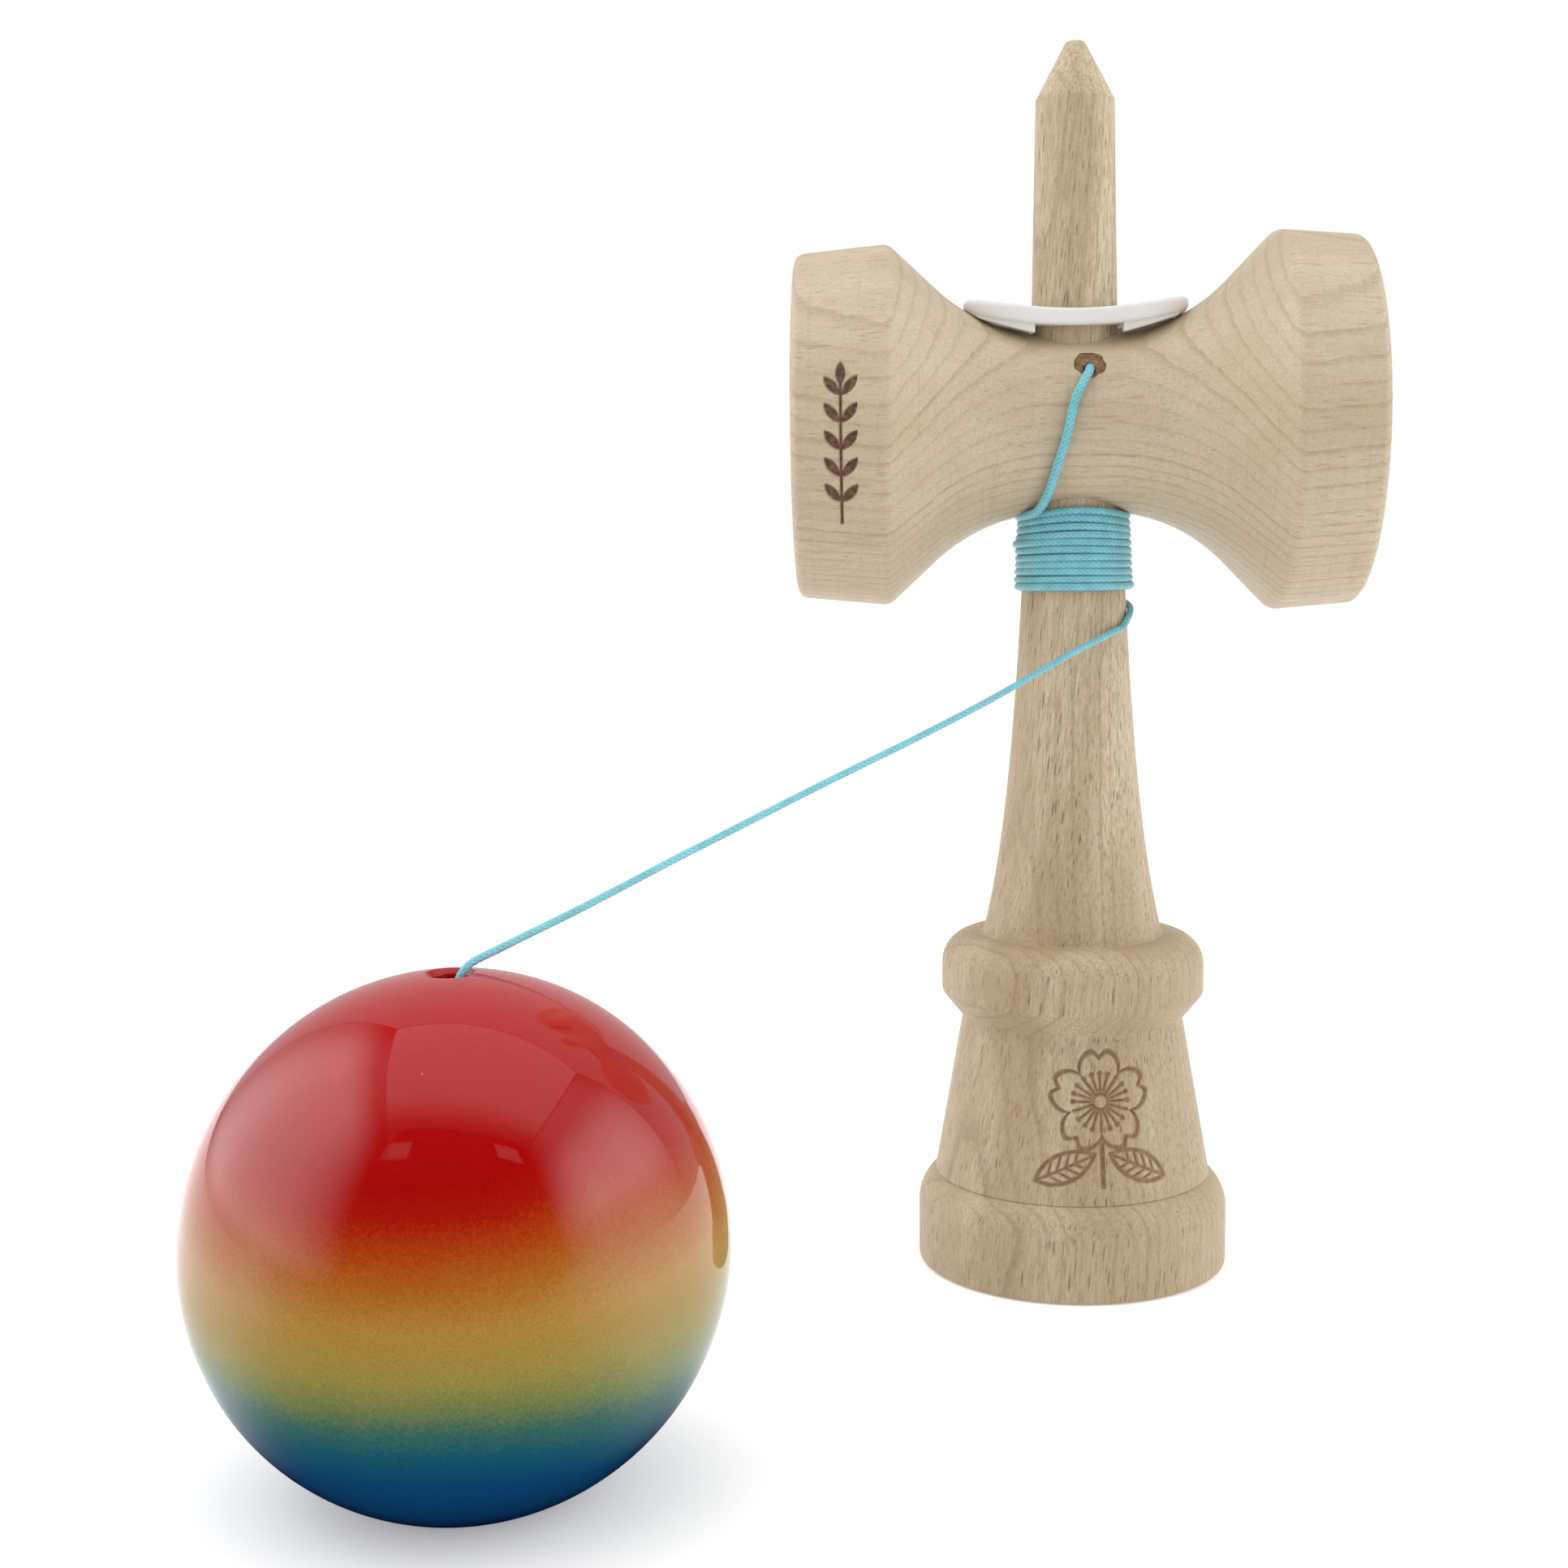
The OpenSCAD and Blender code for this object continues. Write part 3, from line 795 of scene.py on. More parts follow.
@dataclass(frozen=True)
class BeechFinish:
    """Bare turned beech: its tones, and the sizes in millimetres of what grew in it."""

    name: str
    axis: Axis
    light: str
    warm: str
    line: str
    fibre: str
    fleck: str
    streak: str
    middle: Place = (0.0, 0.0, 0.0)
    pith: Place = (0.0, 60.0, 0.0)
    ring_spacing: float = 2.2
    wander: float = 2.0
    lean: float = 0.0
    fall: Fade = (0.0, 1.0, 0.0, 0.0)
    flank: Fade = (0.3, 0.75, 1.0, 0.3)
    fleck_size: Place = (0.4, 0.4, 4.6)
    streak_size: Place = (0.6, 0.6, 6.0)
    fibre_size: Place = (0.35, 0.35, 9.0)
    line_share: float = 0.6
    fibre_share: float = 0.4
    fleck_share: float = 0.7
    streak_share: float = 0.5
    turning_share: float = 0.12
    grit: float = 0.06
    burn_share: float = 0.9
    char: str = "#5a3322"
    toast: str = "#8c6644"
    roughness: float = 0.5
    fibre_dull: float = 0.12
    burn_dull: float = 0.2
    specular: float = 0.7
    bump: float = 0.35
    bump_depth: float = 0.12

    def material(self, effects: Effects) -> Material:
        """Builds the wood's material.

        Args:
            effects: The shared node groups.

        Returns:
            The material.
        """
        made, nodes, shader = new_material(self.name)
        place = nodes.vector("SUBTRACT", nodes.millimetres(), self.middle)
        if self.axis is Axis.ACROSS:
            x, y, z = nodes.parts(place)
            place = nodes.add("ShaderNodeCombineXYZ", {0: y, 1: z, 2: x}).outputs[0]
        along = nodes.parts(place)[2]
        slant = nodes.add("ShaderNodeCombineXYZ", {0: nodes.product(along, self.lean)}).outputs[0]
        place = nodes.vector("SUBTRACT", place, slant)
        growth = {
            "Place": place,
            "Pith": self.pith,
            "Ring Spacing": self.ring_spacing,
            "Wander": self.wander,
            "Fleck Size": self.fleck_size,
            "Streak Size": self.streak_size,
            "Fibre Size": self.fibre_size,
        }
        grain = nodes.group(effects.grain, growth)
        facing = nodes.add("ShaderNodeTexCoord").outputs["Normal"]
        end_on = nodes.parts(facing)[0 if self.axis is Axis.ACROSS else 2]
        flank = nodes.fade(nodes.math("ABSOLUTE", end_on), *self.flank)
        # tone also changes along the axis: on the handle, warmer towards the base and lighter towards the
        # spike
        tone = nodes.math("ADD", grain["Tone"], nodes.fade(along, *self.fall), clamp=True)
        colour = nodes.mix(tone, paint(self.light), paint(self.warm))
        for mask, shade, *shares in (
            ("Rings", self.line, self.line_share),
            ("Fibres", self.fibre, self.fibre_share),
            ("Turning", self.line, self.turning_share),
            ("Streaks", self.streak, self.streak_share, flank),
            ("Flecks", self.fleck, self.fleck_share, flank),
        ):
            colour = nodes.mix(nodes.product(grain[mask], *shares), colour, paint(shade))
        colour = nodes.scaled(colour, nodes.fade(grain["Grit"], 0.0, 1.0, 1 - self.grit, 1 + self.grit))
        mark = {
            "Color": colour,
            "Mask": nodes.stored("burn"),
            "Place": place,
            "Char": paint(self.char),
            "Toast": paint(self.toast),
            "Strength": self.burn_share,
        }
        burn = nodes.group(effects.burn, mark)
        dull = nodes.math("ADD", self.roughness, nodes.product(grain["Fibres"], self.fibre_dull))
        surface = {
            "Base Color": burn["Color"],
            "Roughness": nodes.math("ADD", dull, nodes.product(burn["Mask"], self.burn_dull)),
            "Normal": nodes.bump(self.bump, self.bump_depth, grain["Height"]),
            "Specular IOR Level": self.specular,
        }
        nodes.feed(shader, surface)
        return made


@dataclass(frozen=True)
class LacquerFinish:
    """A gloss lacquer that is sprayed in bands, each stop a height above the ball's middle and a colour."""

    name: str
    middle: Place
    radius: float
    stops: tuple[tuple[float, str], ...]
    mist: float = 4.6
    drift: float = 1.6
    gloss: float = 0.03
    smudge_dull: float = 0.04
    grit: Fade = (0.3, 0.7, 0.88, 1.1)
    dust: str = "#e8dcc8"
    dust_spacing: float = 4.6
    dust_share: float = 0.35
    ripple: float = 0.12
    ripple_depth: float = 0.03
    centre: float = -4.0
    swell: Fade = (4.0, 24.0, 1.0, 0.83)
    pinch: Fade = (-28.0, -14.0, 1.4, 1.0)

    def bands(self, nodes: Nodes, place: Socket) -> Socket:
        """Returns the bands' colour.

        Args:
            nodes: The material's nodes.
            place: A place about the ball's middle, in millimetres.

        Returns:
            The colour, before grit and dust.
        """
        beside, _, height = nodes.parts(place)
        height = nodes.math("SUBTRACT", height, self.centre)
        wide = nodes.fade(nodes.math("ABSOLUTE", beside), *self.swell)
        uneven = nodes.product(nodes.fade(beside, *self.swell), nodes.fade(beside, *self.pinch))
        above = nodes.product(nodes.math("MAXIMUM", height, 0.0), wide)
        below = nodes.product(nodes.math("MINIMUM", height, 0.0), uneven)
        height = nodes.math("ADD", nodes.math("ADD", above, below), self.centre)
        fine = nodes.noise(place, 2.3, 3.0, 0.7)
        cloud = nodes.noise(place, 0.16)
        for spread, size in ((fine, self.mist), (cloud, self.drift)):
            shift = nodes.product(nodes.math("SUBTRACT", spread, 0.5), size)
            height = nodes.math("ADD", height, shift)
        share = nodes.math("DIVIDE", nodes.math("ADD", height, self.radius), 2 * self.radius)
        bands = nodes.add("ShaderNodeValToRGB", {0: share})
        ramp = bands.color_ramp
        ramp.interpolation = "LINEAR"
        while len(ramp.elements) < len(self.stops):
            ramp.elements.new(1.0)
        for element, (level, tone) in zip(ramp.elements, sorted(self.stops)):
            element.position = (level + self.radius) / (2 * self.radius)
            element.color = paint(tone)
        return bands.outputs["Color"]

    def material(self, effects: Effects) -> Material:
        """Builds the lacquer's material.

        Args:
            effects: The shared node groups.

        Returns:
            The material.
        """
        made, nodes, shader = new_material(self.name)
        place = nodes.vector("SUBTRACT", nodes.millimetres(), self.middle)
        grit = nodes.fade(nodes.noise(place, 5.5), *self.grit)
        colour = nodes.vector("MULTIPLY", self.bands(nodes, place), grit)
        marks = nodes.group(effects.handling, {"Place": place, "Dust Spacing": self.dust_spacing})
        surface = {
            "Base Color": nodes.mix(nodes.product(marks["Dust"], self.dust_share), colour, paint(self.dust)),
            "Roughness": nodes.fade(marks["Smudge"], 0.0, 1.0, self.gloss, self.gloss + self.smudge_dull),
            "Normal": nodes.bump(self.ripple, self.ripple_depth, marks["Ripple"]),
        }
        nodes.feed(shader, surface)
        return made


@dataclass(frozen=True)
class BraidFinish:
    """A fine braid of dyed yarn, with painted shade in its hollows and in the crevices between the winding's
    turns.
    """

    name: str
    light: str
    # painted shade: the colour of the braid's sunk parts between the proud strands
    deep: str
    sheen: float = 0.25
    # painted shade: how dark the winding gets in the crevices between its turns
    nook_shade: float = 0.4
    patches: Fade = (0.3, 0.7, 0.9, 1.06)
    roughness: Fade = (0.3, 0.7, 0.3, 0.5)
    bump: float = 0.7
    bump_depth: float = 0.06

    def material(self) -> Material:
        """Builds the braid's material, which reads how proud a strand lies and how far it faces the next
        turn, and darkens sunk strands and those crevices as painted shade.

        Returns:
            The material.
        """
        made, nodes, shader = new_material(self.name)
        place = nodes.millimetres()
        yarn = nodes.noise(place, 7.0, 3.0, 0.7)
        uneven = nodes.math("MULTIPLY_ADD", yarn, 0.6, -0.3)
        # painted shade: sunk parts of the braid take the darker colour and proud parts the lighter one
        share = nodes.math("ADD", nodes.fade(nodes.stored("strand"), 0.0, 0.9), uneven, clamp=True)
        colour = nodes.mix(share, paint(self.deep), paint(self.light))
        patches = nodes.fade(nodes.noise(place, 0.5), *self.patches)
        # painted shade: strand sides that face the next turns are darkened, as shade between the turns
        nook_shade = nodes.fade(nodes.stored("nook_shade"), 0.1, 1.0, 1.0, self.nook_shade)
        surface = {
            "Base Color": nodes.scaled(colour, nodes.product(patches, nook_shade)),
            "Roughness": nodes.fade(yarn, *self.roughness),
            "Normal": nodes.bump(self.bump, self.bump_depth, yarn),
            "Sheen Weight": self.sheen,
        }
        nodes.feed(shader, surface)
        return made


@dataclass(frozen=True)
class PlasticFinish:
    """A satin moulding."""

    name: str
    tone: str
    shade: str
    dust: str = "#a89a86"
    dust_spacing: float = 4.0
    dust_share: float = 0.3
    smudge_share: float = 0.5
    roughness: tuple[float, float] = (0.36, 0.46)
    bump: float = 0.1
    bump_depth: float = 0.03

    def material(self, effects: Effects) -> Material:
        """Builds the plastic's material.

        Args:
            effects: The shared node groups.

        Returns:
            The material.
        """
        made, nodes, shader = new_material(self.name)
        place = nodes.millimetres()
        marks = nodes.group(effects.handling, {"Place": place, "Dust Spacing": self.dust_spacing})
        smudge = nodes.product(marks["Smudge"], self.smudge_share)
        colour = nodes.mix(smudge, paint(self.tone), paint(self.shade))
        surface = {
            "Base Color": nodes.mix(nodes.product(marks["Dust"], self.dust_share), colour, paint(self.dust)),
            "Roughness": nodes.fade(marks["Smudge"], 0.0, 1.0, *self.roughness),
            "Normal": nodes.bump(self.bump, self.bump_depth, nodes.noise(place, 6.0)),
        }
        nodes.feed(shader, surface)
        return made


# Camera and studio


@dataclass(frozen=True)
class View:
    """The camera: its place in millimetres, its turns in degrees and its focal length in pixels."""

    eye: Place = (-23.7, -317.2, 107.4)
    yaw: float = -3.02
    pitch: float = 7.04
    roll: float = 0.70
    focal_px: float = 2800.0
    frame_px: float = 1932.0
    sensor: float = 36.0
    nearest: float = 10.0

    def build(self) -> None:
        """Makes the camera and gives it to the scene."""
        yaw, pitch, roll = (math.radians(a) for a in (self.yaw, self.pitch, self.roll))
        ahead = Vector((math.sin(yaw) * math.cos(pitch), math.cos(yaw) * math.cos(pitch), -math.sin(pitch)))
        right = Vector((math.cos(yaw), -math.sin(yaw), 0))
        down = ahead.cross(right)
        across = math.cos(roll) * right + math.sin(roll) * down
        below = math.cos(roll) * down - math.sin(roll) * right
        lens = bpy.data.cameras.new("camera")
        lens.sensor_width = self.sensor
        lens.lens = self.focal_px / self.frame_px * self.sensor
        lens.clip_start = self.nearest * MM
        camera = placed("camera", lens)
        turn = Matrix((across, -below, -ahead)).transposed()
        camera.matrix_world = Matrix.Translation(Vector(self.eye) * MM) @ turn.to_4x4()
        bpy.context.scene.camera = camera


@dataclass(frozen=True)
class Pane:
    """A rectangle across the view or on the floor: its middle and its half sizes, in millimetres."""

    x: float
    z: float
    half_x: float
    half_z: float

    def corners(self) -> list[tuple[float, float]]:
        """Returns the corners, once round."""
        ways = ((-1, -1), (1, -1), (1, 1), (-1, 1))
        return [(self.x + i * self.half_x, self.z + k * self.half_z) for i, k in ways]

    def mask(self, nodes: Nodes, place: Socket, blur: float) -> Socket:
        """Works out how far the upright rectangle covers a place.

        Args:
            nodes: The nodes that this is added to.
            place: A place in millimetres.
            blur: Width of the soft edges.

        Returns:
            Cover from 0 to 1.
        """
        x, _, z = nodes.parts(place)
        cover = []
        for part, middle, half in ((x, self.x, self.half_x), (z, self.z, self.half_z)):
            away = nodes.math("ABSOLUTE", nodes.math("SUBTRACT", part, middle))
            cover.append(nodes.fade(away, half - blur, half, 1.0, 0.0))
        return nodes.product(*cover)


@dataclass(frozen=True)
class TentWall:
    """How bright a side wall is, by how far up it is and how far ahead of the object.

    The gain is what it adds to the plain light. Each other field holds two places, and then the
    brightness, or the share of it, that a glossy finish shows at each.
    """

    gain: float
    up: Fade
    foot: Fade
    ahead: Fade
    behind: Fade

    def glow(self, nodes: Nodes, rise: Socket, ahead: Socket) -> Socket:
        """Returns the brightness that a glossy finish shows at a height and a place ahead."""
        changes = ((rise, self.up), (rise, self.foot), (ahead, self.ahead), (ahead, self.behind))
        return nodes.product(*(nodes.fade(place, *change) for place, change in changes))


@dataclass(frozen=True)
class Studio:
    """A white light tent over a pale floor, with lamps behind its side walls and an opening at the front."""

    level: float = 0.9
    front_loss: Fade = (-0.45, -0.9, 0.0, 0.55)
    left: float = 0.40
    right: float = 0.74
    back: float = 0.50
    front: float = 1.6
    nearest: float = 0.05
    left_wall: TentWall = TentWall(
        gain=0.37,
        up=(0.5, 0.9, 2.45, 0.6),
        foot=(0.0, 0.05, 0.65, 1.0),
        ahead=(1.5, 0.1, 0.0, 1.0),
        behind=(-0.35, -1.25, 1.0, 0.27),
    )
    right_wall: TentWall = TentWall(
        gain=0.78,
        up=(0.38, 0.85, 2.8, 0.75),
        foot=(0.1, 0.3, 0.56, 1.0),
        ahead=(0.85, 0.2, 0.0, 1.0),
        behind=(-0.1, -1.05, 1.0, 0.15),
    )
    roof_glow: Fade = (-0.5, -0.15, 0.15, 1.1)
    back_glow: float = 0.72
    edge_blur: float = 0.005
    seam: Fade = (0.0, 0.016, 0.35, 1.0)
    opening: Pane = Pane(20.0, 262.0, 262.0, 284.0)
    opening_y: float = -340.0
    opening_blur: float = 46.0
    # painted reflections: two bright panes on the opening that only glossy rays see, so they light nothing
    glint_panes: tuple[Pane, ...] = (Pane(-190.0, 375.0, 46.0, 44.0), Pane(160.0, 418.0, 50.0, 44.0))
    glint_level: float = 0.55
    glint_blur: float = 6.0
    floor: Pane = Pane(0.0, 0.0, 4000.0, 4000.0)
    floor_z: float = -0.02
    floor_tone: str = "#f6f5f4"
    floor_dull: float = 0.9
    floor_glow: float = 0.3
    # painted shade: the darker floor colour that only glossy rays see
    reflected_floor_shade: str = "#1c1c1c"
    # painted shade and glow: the floor glow that glossy rays see, none straight ahead of the ball and up to
    # 1.8 times behind and beside it
    reflected_glow_bearing: Fade = (0.88, 0.12, 0.0, 1.8)
    # painted shadow: glossy rays see no floor glow close round the ball, and it rises further out
    reflected_shadow_fade: Fade = (20.0, 48.0, 0.0, 0.62)
    # painted glow: more floor glow for glossy rays far from the ball
    reflected_glow_far: Fade = (52.0, 160.0, 0.0, 0.33)
    # the ball's place on the floor, round which the painted shadow and glow are measured
    painted_shadow_middle: Place = (-72.7, -78.1, 0.0)
    lamp_power: float = 1.6
    lamp_side: float = 0.9
    lamp_place: Place = (-250.0, -150.0, 900.0)

    def build(self) -> None:
        """Makes the tent, its opening, the floor and the lamp over them."""
        bpy.context.scene.view_settings.view_transform = "Standard"
        self.build_tent()
        self.build_opening()
        self.build_floor()
        light = bpy.data.lights.new("softbox", "AREA")
        light.energy = self.lamp_power
        light.size = self.lamp_side
        lamp = placed("softbox", light)
        lamp.location = Vector(self.lamp_place) * MM
        lamp.rotation_euler = (-lamp.location).to_track_quat("-Z", "Y").to_euler()
        lamp.visible_glossy = False

    def mirrored_tent(self, nodes: Nodes) -> tuple[Socket, Socket]:
        """Works out what a glossy finish sees of the tent, a box about the object.

        Args:
            nodes: The world's nodes.

        Returns:
            The brightness in each direction, and the plain light that comes from there.
        """
        x, y, z = nodes.parts(nodes.add("ShaderNodeTexCoord").outputs["Generated"])

        def reach(part: Socket, ahead: float, behind: float) -> Socket:
            """Returns how far a direction goes along an axis, in shares of the way to the wall there."""
            return nodes.math("MAXIMUM", *(nodes.math("DIVIDE", part, wall) for wall in (ahead, -behind)))

        side, deep = reach(x, self.right, self.left), reach(y, self.back, self.front)
        past_wall = nodes.math("SUBTRACT", side, nodes.math("MAXIMUM", z, deep))
        pasts = (past_wall, nodes.math("SUBTRACT", z, deep))
        wall, roof = (nodes.fade(past, -self.edge_blur, self.edge_blur) for past in pasts)
        seam_wall, seam_roof = (nodes.fade(nodes.math("ABSOLUTE", past), *self.seam) for past in pasts)
        rise = nodes.math("DIVIDE", z, nodes.math("MAXIMUM", side, self.nearest))
        across = nodes.math("MAXIMUM", nodes.math("ABSOLUTE", x), self.nearest)
        ahead = nodes.math("DIVIDE", nodes.product(y, -1.0), across)
        is_right = nodes.math("GREATER_THAN", x, 0.0)
        sides = (self.left_wall, self.right_wall)
        walls = nodes.blended(is_right, *(tent_wall.glow(nodes, rise, ahead) for tent_wall in sides))
        depth = nodes.math("DIVIDE", y, nodes.math("MAXIMUM", z, self.nearest))
        rest = nodes.blended(roof, self.back_glow, nodes.fade(depth, *self.roof_glow))
        seen = nodes.blended(wall, rest, walls)
        seams = nodes.product(seam_wall, nodes.math("MAXIMUM", seam_roof, wall))
        gain = nodes.blended(is_right, *(tent_wall.gain for tent_wall in sides))
        plain = nodes.math("MULTIPLY_ADD", wall, gain, self.level)
        return nodes.product(seen, seams), nodes.math("SUBTRACT", plain, nodes.fade(y, *self.front_loss))

    def build_tent(self) -> None:
        """Lights the object by the tent, and shows plain white to the camera."""
        world = bpy.data.worlds.new("tent")
        world.use_nodes = True
        bpy.context.scene.world = world
        nodes = Nodes(world.node_tree)
        mirrored, plain = self.mirrored_tent(nodes)
        rays, seen = nodes.rays()
        bright = nodes.blended(rays["Is Glossy Ray"], plain, mirrored)
        light = {"Color": WHITE, "Strength": nodes.blended(seen, bright, 1.0)}
        nodes.feed(world.node_tree.nodes["Background"], light)

    def build_opening(self) -> None:
        """Makes the tent's dark opening round the camera, with two painted glints on it, which only glossy
        finishes show.
        """
        board = flat_piece("opening", [(x, self.opening_y, z) for x, z in self.opening.corners()])
        board.visible_camera = False
        board.visible_diffuse = False
        board.visible_shadow = False
        made, nodes, _ = new_material("opening")
        place = nodes.millimetres()
        light = 0.0
        # painted reflection: the panes glow only for glossy rays, which alone see the board
        for glint_pane in self.glint_panes:
            cover = glint_pane.mask(nodes, place, self.glint_blur)
            light = nodes.math("MULTIPLY_ADD", cover, self.glint_level, light)
        dark = nodes.add("ShaderNodeEmission", {"Strength": light}).outputs[0]
        clear = nodes.add("ShaderNodeBsdfTransparent").outputs[0]
        cover = self.opening.mask(nodes, place, self.opening_blur)
        shown = nodes.add("ShaderNodeMixShader", {0: cover, 1: clear, 2: dark}).outputs[0]
        nodes.feed(made.node_tree.nodes["Material Output"], {"Surface": shown})
        board.data.materials.append(made)

    def build_floor(self) -> None:
        """Makes the pale floor, which keeps the object's shadow; glossy rays see it darker, with a painted
        glow that is missing near the ball as a painted shadow and in front of it as painted shade.
        """
        floor = flat_piece("floor", [(x, y, self.floor_z) for x, y in self.floor.corners()])
        made, nodes, shader = new_material("floor")
        rays, seen = nodes.rays()
        glossy = rays["Is Glossy Ray"]
        offset = nodes.vector("SUBTRACT", nodes.millimetres(), self.painted_shadow_middle)
        away = nodes.vector("LENGTH", offset)
        ahead = nodes.math("DIVIDE", nodes.product(nodes.parts(offset)[1], -1.0), away)
        # painted reflection: a glow on the floor that only glossy rays see, with a painted shadow near the
        # ball and painted shade in front of it
        painted_glow = nodes.math("ADD", nodes.fade(away, *self.reflected_shadow_fade), nodes.fade(away, *self.reflected_glow_far))
        painted_glow = nodes.product(painted_glow, nodes.fade(ahead, *self.reflected_glow_bearing), glossy)
        surface = {
            # painted shade: glossy rays see a darker copy of the floor
            "Base Color": nodes.mix(glossy, paint(self.floor_tone), paint(self.reflected_floor_shade)),
            "Roughness": self.floor_dull,
            "Specular IOR Level": 0.0,
            "Emission Color": WHITE,
            "Emission Strength": nodes.math("MULTIPLY_ADD", seen, self.floor_glow, painted_glow),
        }
        nodes.feed(shader, surface)
        floor.data.materials.append(made)


def flat_piece(name: str, corners: Sequence[Place]) -> Piece:
    """Makes one flat face.

    Args:
        name: Its name.
        corners: Its corners in order, in millimetres.

    Returns:
        The object.
    """
    mesh = bpy.data.meshes.new(name)
    mesh.from_pydata((np.array(corners) * MM).tolist(), [], [tuple(range(len(corners)))])
    return placed(name, mesh)


# The pieces


def hollow(mouth: float, radius: float) -> Points:
    """Returns a dish's outline from its floor to its mouth.

    Args:
        mouth: Radius of the mouth.
        radius: Radius of the dish's curve.

    Returns:
        Rows of radius and depth behind the mouth.
    """
    turns = np.linspace(0, math.asin(mouth / radius), DISH_ROWS + 1)
    sunk = math.sqrt(radius**2 - mouth**2)
    return np.stack([radius * np.sin(turns), radius * np.cos(turns) - sunk], axis=1)


@dataclass(frozen=True)
class Lathe:
    """How a piece with a burnt mark is turned: its outline, its angles, its axis and the axis's zero."""

    profile: Points
    angles: Points
    axis: Axis
    middle: Place = ORIGIN

    def burnt(self, name: str, cover: Points, depth: float) -> Piece:
        """Makes the turned piece with its mark.

        Args:
            name: The piece's name.
            cover: How far the mark covers each place, from 0 to 1.
            depth: How deep the mark is burnt.

        Returns:
            The piece, which keeps the mark for its material.
        """
        places = turned(self.profile, self.angles, self.axis, self.middle)
        inward = turned(outward(self.profile), self.angles, self.axis, ORIGIN)
        places = places - inward * (cover * depth)[..., None]
        piece = skin(name, places)
        store(piece, "burn", merged_rows(cover, places))
        return piece


@dataclass
class Ken:
    """The turned handle with its spike, collar, base ring and base cup."""

    base_r: float = 21.7
    base_wall_h: float = 8.2
    shoulder_r: float = 5.8
    base_edge_r: float = 0.8
    base_rim_w: float = 3.2
    dish_r: float = 30.5
    cone_foot_r: float = 19.3
    cone_z: float = 12.90
    neck_r: float = 15.4
    neck_z: float = 35.30
    collar_r: float = 18.3
    collar_z: float = 38.90
    collar_low_r: float = 1.4
    collar_top_r: float = 4.2
    lip_round: float = 0.35
    neck_round: float = 0.8
    handle_z: float = 47.0
    foot_r: float = 12.5
    foot_round: float = 0.35
    flare_h: float = 18.0
    taper: float = 0.04
    seat_r: float = 6.6
    seat_z: float = 105.7
    root_r: float = 5.85
    root_z: float = 129.7
    top_r: float = 5.3
    point_z: float = 160.9
    point_round: float = 0.35
    tip_r: float = 1.2
    tip_z: float = 168.6
    tip_round: float = 0.72
    crease: float = 0.16
    mark_angle: float = 9.0
    mark_z: float = 24.3
    mark_half: float = 36.0
    mark_margin: float = 1.0
    mark_depth: float = 0.25
    fine: float = 0.17
    coarse: float = 1.2
    coarse_turn: float = 4.0
    mark: Blossom = field(default_factory=Blossom)

    def radius(self, z: float) -> float:
        """Works out the ken's radius on its handle.

        Args:
            z: A height on the handle.

        Returns:
            The radius.
        """
        reach = self.seat_z - self.handle_z
        fall = math.exp(-reach / self.flare_h)
        gain = self.foot_r - self.seat_r - self.taper * reach
        flare = (math.exp(-(z - self.handle_z) / self.flare_h) - fall) / (1 - fall)
        return self.seat_r + self.taper * (self.seat_z - z) + gain * flare

    def profile(self) -> Points:
        """Draws the ken's outline, from the middle of its base cup to its tip.

        Returns:
            Rows of radius and height.
        """
        dish = hollow(self.base_r - self.base_rim_w, self.dish_r)
        turn = math.asin((self.cone_z - self.base_wall_h) / self.shoulder_r)
        middle = self.base_r - self.shoulder_r
        shoulder = [
            Corner(middle + self.shoulder_r * math.cos(a), self.base_wall_h + self.shoulder_r * math.sin(a))
            for a in np.linspace(0, turn, 10)
        ]
        handle = [Corner(self.radius(z), z) for z in np.linspace(self.handle_z, self.seat_z, 60)]
        corners = [
            *(Corner(r, z) for r, z in dish[:-1]),
            Corner(dish[-1, 0], 0, self.lip_round),
            Corner(self.base_r, 0, self.base_edge_r),
            *shoulder[:-1],
            Corner(self.cone_foot_r - 0.02, self.cone_z - self.crease * 0.3),
            Corner(self.cone_foot_r - self.crease, self.cone_z + self.crease * 0.2),
            Corner(self.cone_foot_r - self.crease * 0.2, self.cone_z + self.crease),
            Corner(self.neck_r, self.neck_z, self.neck_round),
            Corner(self.collar_r, self.collar_z, self.collar_low_r),
            Corner(self.collar_r, self.handle_z, self.collar_top_r),
            Corner(self.foot_r, self.handle_z, self.foot_round),
            *handle[1:],
            Corner(self.root_r, self.root_z),
            Corner(self.top_r, self.point_z, self.point_round),
            Corner(self.tip_r, self.tip_z, self.tip_round),
            Corner(0, self.tip_z),
        ]
        rows = outline(corners)
        return divided(rows, lambda p: self.fine if self.cone_z < p[1] < self.neck_z else self.coarse)

    def build(self, wood: Material) -> None:
        """Turns the ken, burns its mark and sets it on its body.

        Args:
            wood: The material.
        """
        profile = self.profile()
        step = math.degrees(self.fine / self.cone_foot_r)
        angles = round_angles(self.mark_angle, self.mark_half, step, self.coarse_turn)
        radius, height = profile[:, :1], profile[:, 1:]
        beside = angles[None, :] - self.mark_angle
        across, up = np.broadcast_arrays(radius * np.radians(beside), height - self.mark_z)
        on_cone = (height > self.cone_z + self.mark_margin) & (height < self.neck_z - self.mark_margin)
        cover = self.mark.mask(across, up) * on_cone * (np.abs(beside) <= self.mark_half)
        piece = Lathe(profile, angles, Axis.UPRIGHT).burnt("ken_turned", cover, self.mark_depth)
        soften(piece)
        piece.data.materials.append(wood)
        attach(piece, "ken")
        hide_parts("ken_handle")
        report(piece)


@dataclass(frozen=True)
class CupSide:
    """One half of the cross-piece: its waist, flare, back edge, wall and rim."""

    waist_w: float
    flare_r: float
    back_angle: float
    back_x: float
    back_r: float
    rim_r: float
    wall_w: float
    mouth_r: float


